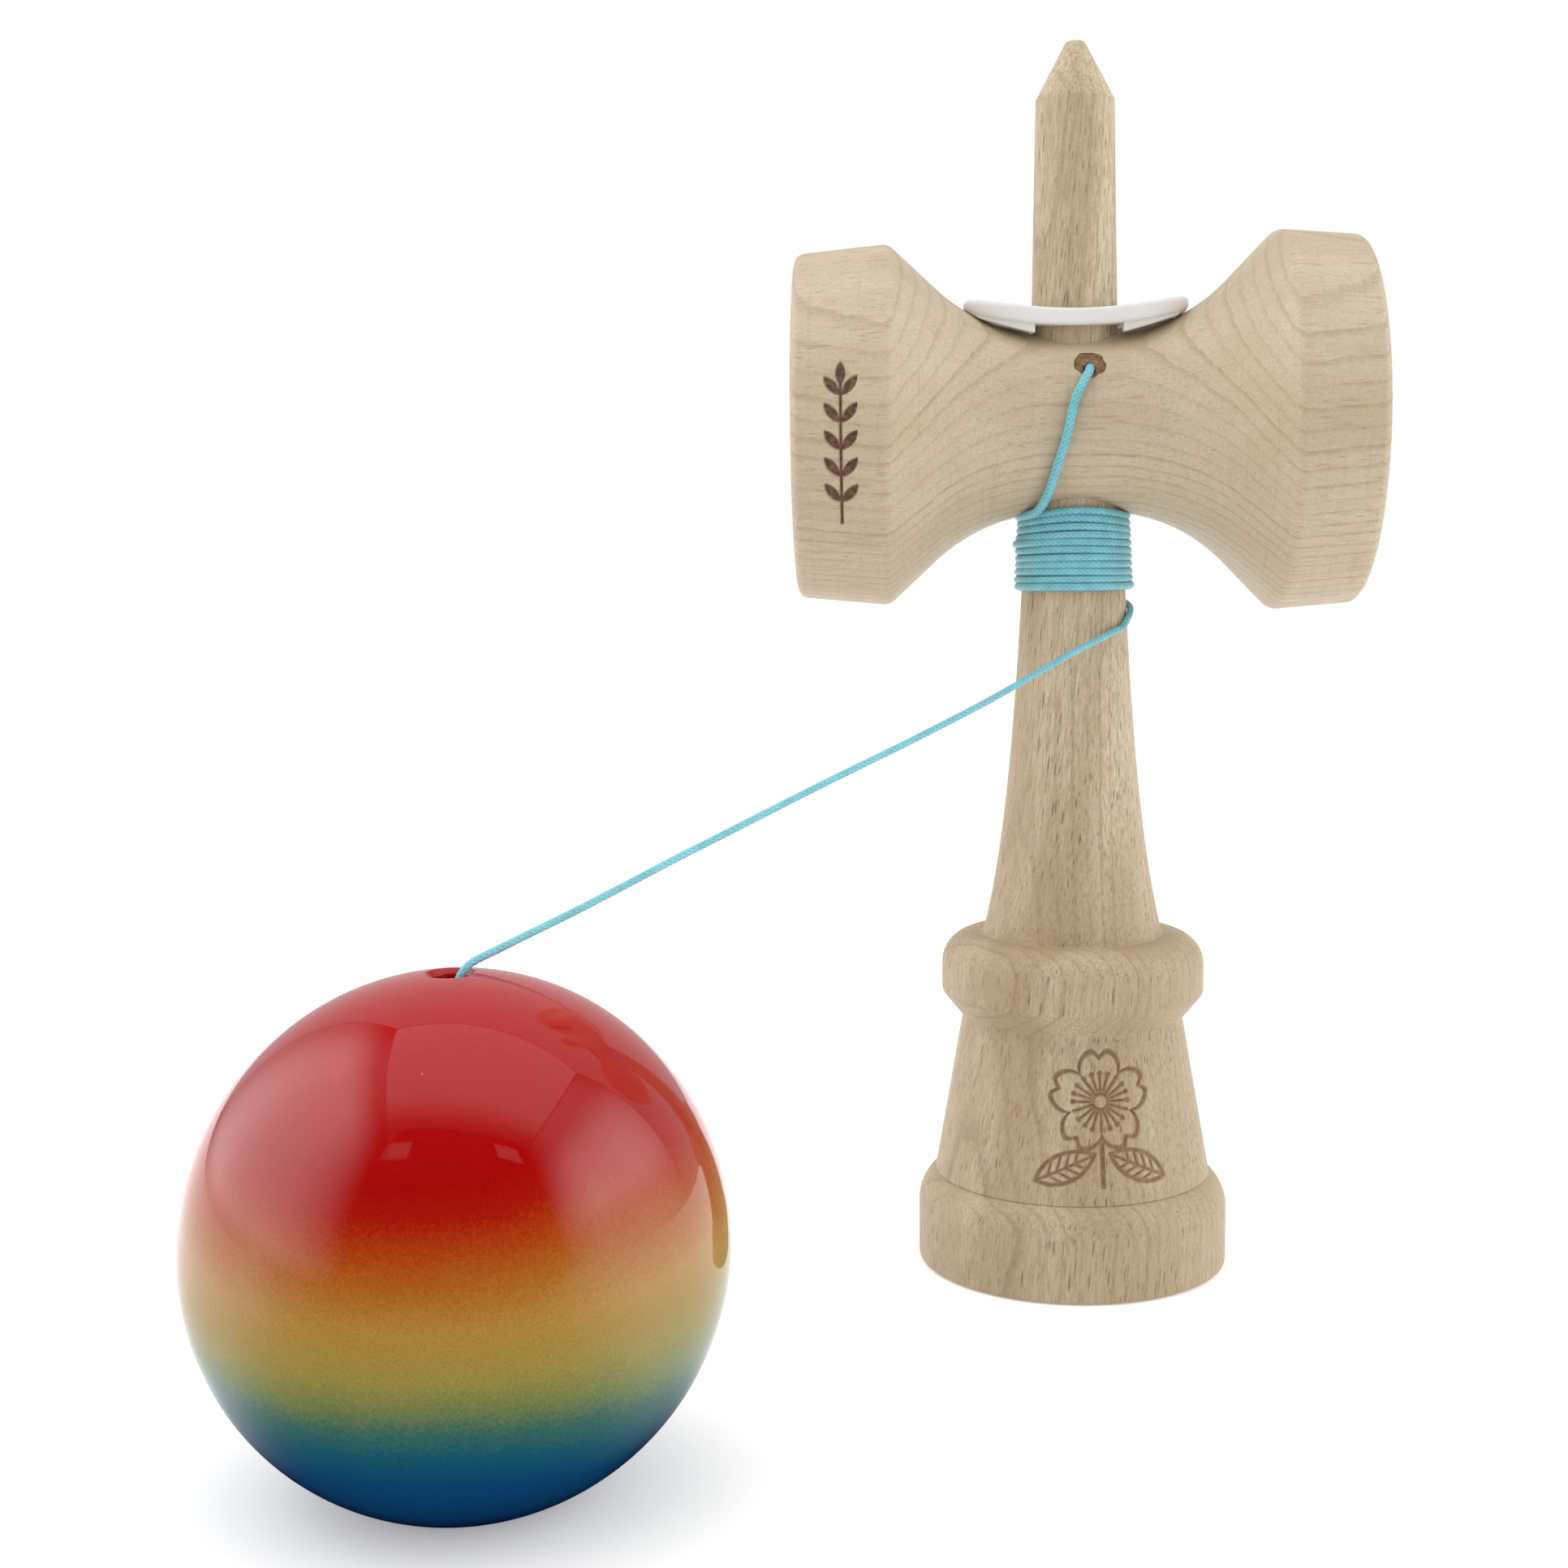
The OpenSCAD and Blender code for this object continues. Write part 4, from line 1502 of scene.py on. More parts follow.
@dataclass
class Cups:
    """The cross-piece with its two cups, its tapered hole and its string hole."""

    ken: Ken
    axis_z: float = 117.7
    waist_r: float = 12.0
    big: CupSide = CupSide(3.9, 23.0, 46.0, 26.80, 25.6, 24.7, 11.4, 22.3)
    small: CupSide = CupSide(2.5, 24.0, 43.0, 25.36, 24.5, 23.3, 12.6, 20.9)
    dish_r: float = 30.5
    back_edge_r: float = 2.0
    rim_edge_r: float = 1.4
    hole_x: float = 1.4
    hole_z: float = 125.3
    mouth_r: float = 2.2
    mouth_low_r: float = 2.024
    mouth_depth: float = 0.8
    mouth_point: float = 0.4
    mouth_round: float = 0.4
    mouth_over: tuple[float, float] = (4.0, 0.1)
    tears: tuple[tuple[float, float, float], ...] = ((2, 0.7, 1.0), (5, 2.0, 0.8), (9, 0.0, 0.6))
    torn: float = 0.045
    way_r: float = 0.85
    way_drop: float = 0.7
    way_y: tuple[float, float] = (-10.0, -4.0)
    pocket_r: float = 1.4
    pocket_drop: float = 0.9
    pocket_y: tuple[float, float] = (-7.35, -3.0)
    lip_round: float = 0.4
    taper_fit: float = 0.07
    taper_over: float = 3.0
    mark_angle: float = -10.0
    mark_x: float = -31.4
    mark_half: float = 29.0
    mark_band: float = 2.9
    mark_depth: float = 0.32
    mark_margin: float = 1.0
    fine: float = 0.17
    coarse: float = 1.3
    coarse_turn: float = 3.0
    mark: Twig = field(default_factory=Twig)

    def side(self, side: CupSide) -> list[Corner]:
        """Draws one half's outline, from the waist to the middle of its dish.

        Args:
            side: The half's sizes.

        Returns:
            The corners, by their distance from the middle of the waist.
        """
        flare = [
            Corner(self.waist_r + side.flare_r * (1 - math.cos(a)), side.waist_w + side.flare_r * math.sin(a))
            for a in np.radians(np.linspace(0, side.back_angle, 19))
        ]
        rim_x = side.back_x + side.wall_w
        dish = hollow(side.mouth_r, self.dish_r)
        slope = (side.rim_r - side.back_r) / side.wall_w
        wall = [
            Corner(side.back_r + slope * (x - side.back_x), x)
            for x in (abs(self.mark_x) - self.mark_band, abs(self.mark_x) + self.mark_band)
        ]
        return [
            *flare,
            Corner(side.back_r, side.back_x, self.back_edge_r),
            *wall,
            Corner(side.rim_r, rim_x, self.rim_edge_r),
            Corner(side.mouth_r, rim_x, self.lip_round),
            *(Corner(r, rim_x - d) for r, d in dish[-2::-1]),
        ]

    def under_mark(self, radius: Points, along: Points) -> Points:
        """Says which places lie on the wall where the mark may be."""
        on_wall = radius > self.small.mouth_r + self.mark_margin
        return (np.abs(along - self.mark_x) < self.mark_band) & on_wall

    def profile(self) -> Points:
        """Draws the whole outline, from the small cup's dish to the big cup's.

        Returns:
            Rows of radius and place across.
        """
        small = [Corner(c.radius, -c.along, c.rounding) for c in reversed(self.side(self.small))]
        rows = outline([*small, *self.side(self.big)])
        return divided(rows, lambda p: self.fine if self.under_mark(*p) else self.coarse)

    def bore(self) -> Piece:
        """Makes the solid of the ken's tapered hole.

        Returns:
            The solid, which is longer than the hole.
        """
        slope = (self.ken.seat_r - self.ken.root_r) / (self.ken.root_z - self.ken.seat_z)
        low_r = self.ken.seat_r + self.taper_fit + slope * self.taper_over
        high_r = self.ken.root_r + self.taper_fit - slope * self.taper_over
        low_z, high_z = self.ken.seat_z - self.taper_over, self.ken.root_z + self.taper_over
        taper = np.array([(0, low_z), (low_r, low_z), (high_r, high_z), (0, high_z)])
        places = turned(divided(taper, lambda p: 1.5), np.arange(0, 360, 2.5), Axis.UPRIGHT, ORIGIN)
        return skin("bore", places)

    def mouth(self) -> Piece:
        """Makes the solid of the string hole's torn mouth, square to the waist.

        Returns:
            The solid, which starts outside the waist.
        """
        high, lip = self.mouth_over
        drill = [
            Corner(0, high),
            Corner(self.mouth_r, high),
            Corner(self.mouth_r, lip),
            Corner(self.mouth_low_r, -self.mouth_depth, self.mouth_round),
            Corner(0, -self.mouth_depth - self.mouth_point),
        ]
        turns = np.arange(0, 360, 6)
        local = turned(divided(outline(drill), lambda p: 0.25), turns, Axis.UPRIGHT, ORIGIN)
        torn = sum(share * np.sin(waves * np.radians(turns) + phase) for waves, phase, share in self.tears)
        local = local * (1 + self.torn * torn[None, :, None] * np.array([1, 1, 0]))
        rise = (self.hole_z - self.axis_z) / self.waist_r
        front = math.sqrt(1 - rise**2)
        turn = np.array([(1, 0, 0), (0, rise, front), (0, -front, rise)])
        return skin("mouth", local @ turn + np.array((self.hole_x, -front * self.waist_r, self.hole_z)))

    def drilling(self, name: str, radius: float, reach: tuple[float, float], drop: float) -> Piece:
        """Makes the solid of a round hole from front to back.

        Args:
            name: Its name.
            radius: Its radius.
            reach: Where it starts and where it ends.
            drop: How far it lies below the middle of the hole's mouth.

        Returns:
            The solid.
        """
        start, end = reach
        rows = np.array([(0, start), (radius, start), (radius, end), (0, end)])
        x, up, y = np.moveaxis(turned(rows, np.arange(0, 360, 10), Axis.UPRIGHT, ORIGIN), -1, 0)
        return skin(name, np.stack([x + self.hole_x, y, up + (self.hole_z - drop)], axis=-1))

    def top(self, x: Points, y: Points) -> Points:
        """Works out the height of the outside near the waist.

        Args:
            x: Places across.
            y: Places from front to back.

        Returns:
            The heights above those places.
        """
        side_w = np.where(x > 0, self.big.waist_w, self.small.waist_w)
        flare_r = np.where(x > 0, self.big.flare_r, self.small.flare_r)
        past = np.maximum(np.abs(x) - side_w, 0)
        radius = self.waist_r + flare_r - np.sqrt(flare_r**2 - past**2)
        return self.axis_z + np.sqrt(radius**2 - y**2)

    def build(self, wood: Material, drilled: Material) -> None:
        """Turns the cross-piece, burns its mark, bores it and sets it on its body.

        Args:
            wood: The material of the turned faces.
            drilled: The material of the bored faces.
        """
        profile = self.profile()
        step = math.degrees(self.fine / self.small.back_r)
        angles = round_angles(self.mark_angle, self.mark_half, step, self.coarse_turn)
        radius, along = profile[:, :1], profile[:, 1:]
        beside = angles[None, :] - self.mark_angle
        across, up = np.broadcast_arrays(along - self.mark_x, self.small.back_r * np.radians(beside))
        near = np.abs(beside) <= self.mark_half
        cover = self.mark.mask(across, up) * self.under_mark(radius, along) * near
        lathe = Lathe(profile, angles, Axis.ACROSS, (0, 0, self.axis_z))
        piece = lathe.burnt("cups_turned", cover, self.mark_depth)
        piece.data.materials.append(wood)
        cutters = [
            self.bore(),
            self.mouth(),
            self.drilling("way", self.way_r, self.way_y, self.way_drop),
            self.drilling("pocket", self.pocket_r, self.pocket_y, self.pocket_drop),
        ]
        for cutter in cutters:
            cutter.data.materials.append(drilled)
        combine(piece, cutters, "DIFFERENCE")
        soften(piece)
        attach(piece, "cross_cups")
        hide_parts("cross_cups")
        report(piece)


@dataclass
class Ball:
    """The lacquered ball with its large hole and its string hole, and the bead inside it."""

    middle: Place = (-72.7, -78.1, 27.6)
    radius: float = 30.0
    rim_r: float = 11.75
    rim_w: float = 0.7
    rim_round: float = 0.2
    edge_round: float = 0.25
    bore_r: float = 8.0
    bevel_h: float = 4.0
    bore_depth: float = 41.6
    bore_slope: float = 0.2
    bore_round: float = 0.8
    throat_h: float = 1.0
    throat_gap: float = 0.1
    throat_round: float = 0.3
    string_r: float = 2.2
    string_bevel: float = 0.6
    turn_step: float = 2.5
    bead_r: float = 3.5
    bead_z: float = 37.95
    bead_hole_r: float = 0.85
    bead_edge: float = 0.15
    bead_bevel: float = 0.3
    bead_step: float = 7.5

    def profile(self) -> tuple[Points, int]:
        """Draws the ball's closed outline about its middle.

        Returns:
            Rows of radius and height, and how many of them are lacquered.
        """
        low = -self.middle[2]
        shut = low + self.bore_depth
        start = math.asin((self.string_r + self.string_bevel) / self.radius)
        end = math.pi - math.asin(self.rim_r / self.radius)
        turns = np.linspace(start, end, 110)
        round_it = [Corner(self.radius * math.sin(a), self.radius * math.cos(a)) for a in turns]
        round_it[0] = replace(round_it[0], rounding=self.edge_round)
        round_it[-1] = replace(round_it[-1], rounding=self.rim_round)
        throat = Corner(self.string_r, shut + self.throat_h)
        outside = [
            throat,
            Corner(self.string_r, round_it[0].along - self.string_bevel, self.edge_round),
            *round_it,
            Corner(self.rim_r - self.rim_w, low, self.edge_round),
            Corner(self.bore_r, low + self.bevel_h),
        ]
        inside = [
            outside[-1],
            Corner(self.bore_r, shut - self.bore_slope, self.bore_round),
            Corner(self.string_r + self.throat_gap, shut, self.throat_round),
            throat,
        ]
        coated = divided(outline(outside), lambda p: 1.2)
        bare = divided(outline(inside), lambda p: 1.6)
        return np.concatenate([coated, bare[1:-1]]), len(coated) - 1

    def build(self, lacquer: Material, bare: Material) -> None:
        """Turns the ball, coats it and sets it on its body.

        Args:
            lacquer: The material outside.
            bare: The material of the bored faces.
        """
        profile, coated = self.profile()
        angles = np.arange(0, 360, self.turn_step)
        piece = skin("ball_lacquered", turned(profile, angles, Axis.UPRIGHT, self.middle), closed=True)
        soften(piece)
        piece.data.materials.append(lacquer)
        piece.data.materials.append(bare)
        rows = np.repeat(np.arange(len(profile)), len(angles))
        piece.data.polygons.foreach_set("material_index", (rows >= coated).astype(np.int32))
        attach(piece, "ball")
        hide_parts("ball")
        report(piece)

    def build_bead(self, wood: Material) -> Piece:
        """Turns the bead that holds the string inside the ball, and sets it on its body.

        Args:
            wood: The material.

        Returns:
            The piece.
        """
        start = math.asin((self.bead_hole_r + self.bead_edge) / self.bead_r)
        turns = np.linspace(start, math.pi - start, 30)
        round_it = np.stack([self.bead_r * np.sin(turns), self.bead_r * np.cos(turns)], axis=1)
        inner = self.bead_r * math.cos(start) - self.bead_bevel
        hole = np.array([(self.bead_hole_r, z) for z in np.linspace(-inner, inner, 6)])
        profile = np.concatenate([round_it, hole])
        angles = np.arange(0, 360, self.bead_step)
        middle = (self.middle[0], self.middle[1], self.bead_z)
        piece = skin("bead_turned", turned(profile, angles, Axis.UPRIGHT, middle), closed=True)
        soften(piece, 50)
        piece.data.materials.append(wood)
        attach(piece, "string_span")
        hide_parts("ball_bead")
        report(piece)
        return piece


@dataclass
class Clip:
    """The moulded saddle clip round the spike, with its four feet."""

    cups: Cups
    length: float = 30.5
    width: float = 16.0
    thick: float = 2.3
    bend_r: float = 62.0
    under_z: float = 130.5
    shift: float = 0.15
    hole_r: float = 6.25
    edge_round: float = 0.5
    end_round: float = 0.75
    end_top_share: float = 0.6
    end_power: int = 6
    seat_gap: float = 0.05
    hole_round: float = 0.35
    foot_length: float = 7.8
    foot_height: float = 1.2
    foot_tip: float = 0.1
    foot_thick: float = 2.2
    foot_inset: float = 0.6
    foot_overlap: float = 0.4
    foot_round: float = 0.25

    def sag(self, x: Points) -> Points:
        """Returns how far the bent clip rises at a distance from the spike."""
        return self.bend_r - np.sqrt(self.bend_r**2 - x**2)

    def seated(self, x: Points, y: Points, z: Points) -> Points:
        """Returns places, lifted where they would go into the cross-piece."""
        return np.stack([x, y, np.maximum(z, self.cups.top(x, y) + self.seat_gap)], axis=1)

    def plate(self) -> Piece:
        """Makes the bent plate with rounded edges and its hole.

        Returns:
            The plate.
        """
        end_r = self.width / 2
        straight = self.length / 2 - end_r
        turns = np.radians(np.arange(0, 360, 2.0))
        ray = np.stack([np.cos(turns), np.sin(turns)], axis=1)
        side = end_r / np.maximum(np.abs(ray[:, 1]), TINY)
        ends = straight * np.abs(ray[:, 0]) + np.sqrt(end_r**2 - (straight * ray[:, 1]) ** 2)
        reach = np.where(side * np.abs(ray[:, 0]) <= straight, side, ends)
        blunt = self.end_round * np.abs(ray[:, 0]) ** self.end_power
        low = self.edge_round + blunt
        high = self.edge_round + self.end_top_share * blunt
        quarter = [(math.sin(a), math.cos(a)) for a in np.radians(np.linspace(0, 90, 7))]
        inner, flat = self.hole_round, np.zeros(len(ray))
        shares = (0.25, 0.5, 0.75)
        # Share of the way from the hole to the edge, distance past that, and height in the plate
        rim = [(0, flat + inner * (1 - s), flat + inner * (1 - c)) for s, c in quarter]
        rim += [(0, flat + inner * (1 - c), self.thick - inner * (1 - s)) for s, c in quarter]
        rim += [(share, flat, flat + self.thick) for share in shares]
        rim += [(1, -high * (1 - s), self.thick - high * (1 - c)) for s, c in quarter]
        rim += [(1, -low * (1 - c), low * (1 - s)) for s, c in quarter]
        rim += [(share, flat, flat) for share in shares[::-1]]
        rows = []
        for share, past, height in rim:
            out = self.hole_r + (reach - self.hole_r) * share + past
            x, y = ray[:, 0] * out, ray[:, 1] * out
            slope = x / np.sqrt(self.bend_r**2 - x**2)
            z = self.under_z + self.sag(x) + height * np.sqrt(1 + slope**2)
            rows.append(self.seated(x + self.shift, y, z))
        return skin("clip_moulded", np.array(rows), closed=True)

    def foot(self, along: int, deep: int) -> Piece:
        """Makes one wedge foot.

        Args:
            along: The side of the spike, -1 or 1.
            deep: The front, -1, or the back, 1.

        Returns:
            The foot.
        """
        share = np.linspace(0, 1, 9)
        x = self.hole_r - self.foot_overlap + self.foot_length * share
        end_r = self.width / 2
        far = np.sqrt(end_r**2 - np.maximum(x - self.length / 2 + end_r, 0) ** 2) - self.foot_inset
        under = self.under_z + self.sag(x)
        low = under - self.foot_height * (1 - share) - self.foot_tip * share
        top = under + self.thick / 2
        ring = ((self.foot_thick, low), (0, low), (0, top), (self.foot_thick, top))
        columns = [self.seated(along * x + self.shift, deep * (far - inset), z) for inset, z in ring]
        piece = skin("foot", np.stack(columns, axis=1), capped=True)
        edge = piece.modifiers.new("edge", "BEVEL")
        edge.width = self.foot_round * MM
        edge.segments = 3
        settle(piece)
        return piece

    def build(self, plastic: Material) -> None:
        """Moulds the clip and sets it on its body.

        Args:
            plastic: The material.
        """
        piece = self.plate()
        feet = [self.foot(along, deep) for along in (-1, 1) for deep in (-1, 1)]
        for part in (piece, *feet):
            part.data.materials.append(plastic)
        combine(piece, feet, "UNION")
        soften(piece, 40)
        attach(piece, "clip")
        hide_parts("saddle_clip")
        report(piece)


@dataclass
class Winding:
    """The turns round the handle: how they climb, arch under the cross-piece and bulge where they cross.

    A fade is a number of turns, and a width is in degrees.
    """

    turns: int = 11
    steps: int = 24
    start_angle: float = 200.0
    top_z: float = 106.26
    pitch: float = 0.98
    start_drop: float = 0.55
    drop_fade: float = 0.22
    arch: float = 0.62
    arch_fade: float = 4.0
    lean: float = 0.18
    slack: float = 0.09
    slack_rate: float = 1.9
    slack_phase: float = 0.6
    bulge: float = 0.5
    bulge_turn: float = 5.03
    bulge_fade: float = 0.75
    bulge_angle: float = 190.0
    bulge_width: float = 34.0
    start_lift: float = 0.5
    start_fade: float = 0.08
    end_lift: float = 0.22
    end_fade: float = 0.6

    def place(self, i: int, ken: Ken, lift: float) -> Place:
        """Returns a place on the winding.

        Args:
            i: Steps from its start.
            ken: The handle that it lies on.
            lift: Distance of the string's middle from the wood.

        Returns:
            The place, in millimetres.
        """
        t = i / self.steps
        angle = self.start_angle - 360 * t
        turn = math.radians(angle)
        z = self.top_z - self.pitch * t - self.start_drop * math.exp(-t / self.drop_fade)
        z -= self.arch * math.exp(-t / self.arch_fade) * math.cos(2 * turn)
        z -= self.lean * (1 - math.exp(-t)) * math.cos(turn)
        sway = math.sin(self.slack_rate * t + self.slack_phase) * math.cos(turn - self.slack_phase)
        z += self.slack * sway * min(t, self.turns - t, 1.0)
        off = (angle - self.bulge_angle + 180) % 360 - 180
        past = (t - self.bulge_turn) / self.bulge_fade
        rise = self.bulge * math.exp(-((off / self.bulge_width) ** 2)) * math.exp(-(past**2))
        rise += self.start_lift * math.exp(-t / self.start_fade)
        rise += self.end_lift * math.exp(-(((self.turns - t) / self.end_fade) ** 2))
        r = ken.radius(z) + lift + rise
        return (r * math.cos(turn), r * math.sin(turn), z)


def gone(line: Points) -> Points:
    """Returns the distance from a line's first point to each of its points, along the line."""
    return np.concatenate([[0], np.cumsum(np.linalg.norm(np.diff(line, axis=0), axis=1))])


def between(t: Points, low: float, high: float, first: Points, last: Points) -> Points:
    """Returns what is first at t = low and last at t = high, in proportion."""
    return (high - t) / (high - low) * first + (t - low) / (high - low) * last


class Stretch(Enum):
    """The stretches of the string, from the cross-piece to the ball."""

    LEAD = "lead_braid"
    WINDING = "winding_braid"
    TURN = "turn_braid"
    SPAN = "span_braid"


@dataclass
class StringLine:
    """The braided string, from its knot in the cross-piece to its knot under the bead."""

    ken: Ken
    ball: Ball
    diameter: float = 1.0
    loose_share: float = 1.22
    wound_share: float = 1.12
    taut_share: float = 0.88
    ease: float = 3.0
    lift: float = 0.54
    step: float = 0.125
    sides: int = 18
    carriers: int = 6
    lay: float = 0.75
    relief: float = 0.1
    mean_proud: float = 0.6
    # painted shade: a higher power keeps the darkening to the sides that face the next turns
    nook_shade_power: int = 4
    knot_r: float = 1.3
    knot_half: float = 0.6
    knot_strand: float = 0.42
    bead_knot_z: float = 33.65
    cups_knot: Place = (1.4, -6.7, 124.4)
    winding: Winding = field(default_factory=Winding)
    lead_past: int = 3
    turn_ease: int = 7
    low_z: float = 94.7
    start: Place = (1.4, -7.3, 124.4)
    lead: tuple[Place, ...] = (
        (1.4, -9.4, 124.7), (1.2, -10.4, 124.2), (0.8, -11.3, 123.6), (0.2, -11.9, 122.5),
        (-0.6, -12.4, 120.9), (-1.3, -12.8, 118.3), (-1.9, -12.6, 115.5), (-2.7, -11.9, 112.9),
        (-3.4, -10.7, 110.4), (-4.2, -8.9, 107.9), (-5.4, -6.6, 105.9),
    )
    # Angle round the handle and drop below the winding
    turn: tuple[tuple[float, float], ...] = (
        (170, 0.1), (155, 0.2), (140, 0.3), (125, 0.5), (110, 0.6), (95, 0.8), (80, 0.9), (65, 1.1),
        (50, 1.2), (35, 1.4), (20, 1.6), (5, 2.0), (-10, 2.6), (-25, 3.6), (-38, 4.7),
    )
    link: tuple[Place, ...] = ((5.1, -6.6, 89.6), (3.6, -8.1, 89.0), (1.6, -10.0, 88.2), (-1.0, -12.4, 87.1))
    span: tuple[Place, ...] = (
        (-3.6, -14.8, 85.9), (-6.2, -17.2, 84.7), (-12.4, -22.9, 81.8), (-17.4, -27.5, 79.7),
        (-22.5, -32.1, 77.6), (-27.4, -36.6, 75.7), (-32.3, -41.1, 73.8), (-36.8, -45.2, 72.0),
        (-41.2, -49.2, 70.2), (-45.4, -53.1, 68.5), (-49.6, -56.9, 66.8), (-53.6, -60.6, 65.1),
        (-57.6, -64.2, 63.4), (-61.5, -67.8, 61.8), (-65.4, -71.3, 60.3), (-68.2, -73.9, 59.2),
        (-70.3, -75.9, 58.4), (-71.1, -76.6, 57.9), (-71.8, -77.3, 56.9), (-72.3, -77.8, 55.2),
        (-72.6, -78.0, 53.0), (-72.7, -78.1, 50.5), (-72.7, -78.1, 46.0), (-72.7, -78.1, 41.4),
        (-72.7, -78.1, 37.9), (-72.7, -78.1, 34.3),
    )

    def route(self) -> tuple[Points, list[int]]:
        """Lists the places that the string goes through.

        Returns:
            The places, and the number of the first place of each stretch.
        """
        lead = [self.start, *self.lead]
        count = self.winding.turns * self.winding.steps
        wound = [self.winding.place(i, self.ken, self.lift) for i in range(count + 1)]
        spare = wound[-1][2] - self.low_z
        turn = []
        for k, (angle, drop) in enumerate(self.turn):
            z = self.low_z - drop + spare * max(0.0, 1 - k / self.turn_ease)
            r = self.ken.radius(z) + self.lift
            turn.append((r * math.cos(math.radians(angle)), r * math.sin(math.radians(angle)), z))
        past = len(lead) + len(wound)
        firsts = [0, len(lead) + self.lead_past, past - 1, past + len(turn) + len(self.link)]
        return np.array([*lead, *wound, *turn, *self.link, *self.span]), firsts

    def smooth(self, places: Points) -> tuple[Points, Points]:
        """Draws one smooth curve through places.

        Args:
            places: The places, in order.

        Returns:
            Points along the curve, and the number among them of each place.
        """
        ends = np.concatenate([[2 * places[0] - places[1]], places, [2 * places[-1] - places[-2]]])
        knots = np.concatenate([[0], np.cumsum(np.linalg.norm(np.diff(ends, axis=0), axis=1) ** 0.5)])
        curve = [places[:1]]
        for i in range(1, len(ends) - 2):
            t0, t1, t2, t3 = knots[i - 1 : i + 3]
            p0, p1, p2, p3 = ends[i - 1 : i + 3]
            count = max(2, math.ceil(np.linalg.norm(p2 - p1) / (self.step / 2)))
            t = np.linspace(t1, t2, count + 1)[1:, None]
            straight = between(t, t1, t2, p1, p2)
            early = between(t, t0, t2, between(t, t0, t1, p0, p1), straight)
            late = between(t, t1, t3, straight, between(t, t2, t3, p2, p3))
            curve.append(between(t, t1, t2, early, late))
        return np.concatenate(curve), np.cumsum([len(part) for part in curve]) - 1

    def centreline(self) -> tuple[Points, list[int]]:
        """Spaces points evenly down the string's middle.

        Returns:
            The points, and the number of each stretch's first point and of the last point of all.
        """
        places, firsts = self.route()
        curve, numbers = self.smooth(places)
        along = gone(curve)
        even = np.linspace(0, along[-1], math.ceil(along[-1] / self.step) + 1)
        line = np.stack([np.interp(even, along, curve[:, k]) for k in range(3)], axis=1)
        starts = np.searchsorted(even, along[numbers[firsts]] - TINY)
        return line, [*starts.tolist(), len(line) - 1]

    def frames(self, line: Points) -> tuple[Points, Points]:
        """Carries two directions along a line without twisting them.

        Args:
            line: Points along the line.

        Returns:
            Two directions square to the line at each point.
        """
        heading = np.gradient(line, axis=0)
        heading /= np.linalg.norm(heading, axis=1, keepdims=True)
        sides = [unit(np.cross(heading[0], (0, 0, 1.0)))]
        for ahead in heading[1:]:
            sides.append(unit(sides[-1] - ahead * (sides[-1] @ ahead)))
        side = np.array(sides)
        return side, np.cross(heading, side)

    def tube(self, line: Points, half: Points, start: float) -> tuple[Points, Points, Points]:
        """Lays braided rings round a line.

        Args:
            line: Points along the string's middle.
            half: Half the string's thickness at each point.
            start: Distance of the line's first point from the string's start.

        Returns:
            The rings' places, how proud the braid lies at each, and how upright it faces there.
        """
        side, other = self.frames(line)
        turn = np.linspace(0, 2 * math.pi, self.sides, endpoint=False)
        carrier = self.carriers * turn[None, :] / 2
        travel = math.pi * (start + gone(line))[:, None] / self.lay
        proud = np.sqrt(np.abs(np.sin(carrier + travel) * np.sin(carrier - travel)))
        radius = half[:, None] * (1 + self.relief * (proud - self.mean_proud))
        around = side[:, None] * np.cos(turn)[None, :, None] + other[:, None] * np.sin(turn)[None, :, None]
        return line[:, None] + around * radius[..., None], proud, np.abs(around[..., 2])

    def lay_tube(self, name: str, line: Points, half: Points, braid: Material, start: float = 0.0) -> Piece:
        """Makes one length of braid.

        Args:
            name: The piece's name.
            line: Points along its middle.
            half: Half its thickness at each point.
            braid: The material.
            start: Distance of its first point from the string's start.

        Returns:
            The piece.
        """
        places, proud, upright = self.tube(line, half, start)
        piece = skin(name, places, capped=True)
        # the stored proudness also sets the braid's painted shade
        store(piece, "strand", merged_rows(proud, places))
        # painted shade: the winding stores how far each strand side faces up or down, towards the next turns,
        # to be darkened
        if name == Stretch.WINDING.value:
            store(piece, "nook_shade", merged_rows(upright**self.nook_shade_power, places))
        soften(piece, 70)
        piece.data.materials.append(braid)
        report(piece)
        return piece

    def knot(self, name: str, middle: Place, axis: Axis, braid: Material) -> Piece:
        """Ties an overhand knot, flat against what it bears on.

        Args:
            name: The piece's name.
            middle: The knot's middle.
            axis: Upright for a knot on an upright string, across for one on a string that runs to the front.
            braid: The material.

        Returns:
            The piece.
        """
        half = self.knot_strand
        t = np.linspace(0, 2 * math.pi, 150)
        ring = (self.knot_r - half) / 3 * (2 + np.cos(3 * t))
        rise = (self.knot_half - half) * np.sin(3 * t)
        flat = np.stack([ring * np.cos(2 * t), ring * np.sin(2 * t), rise], axis=1)
        if axis is Axis.ACROSS:
            flat = flat[:, [0, 2, 1]]
        return self.lay_tube(name, flat + np.array(middle), np.full(len(t), half), braid)

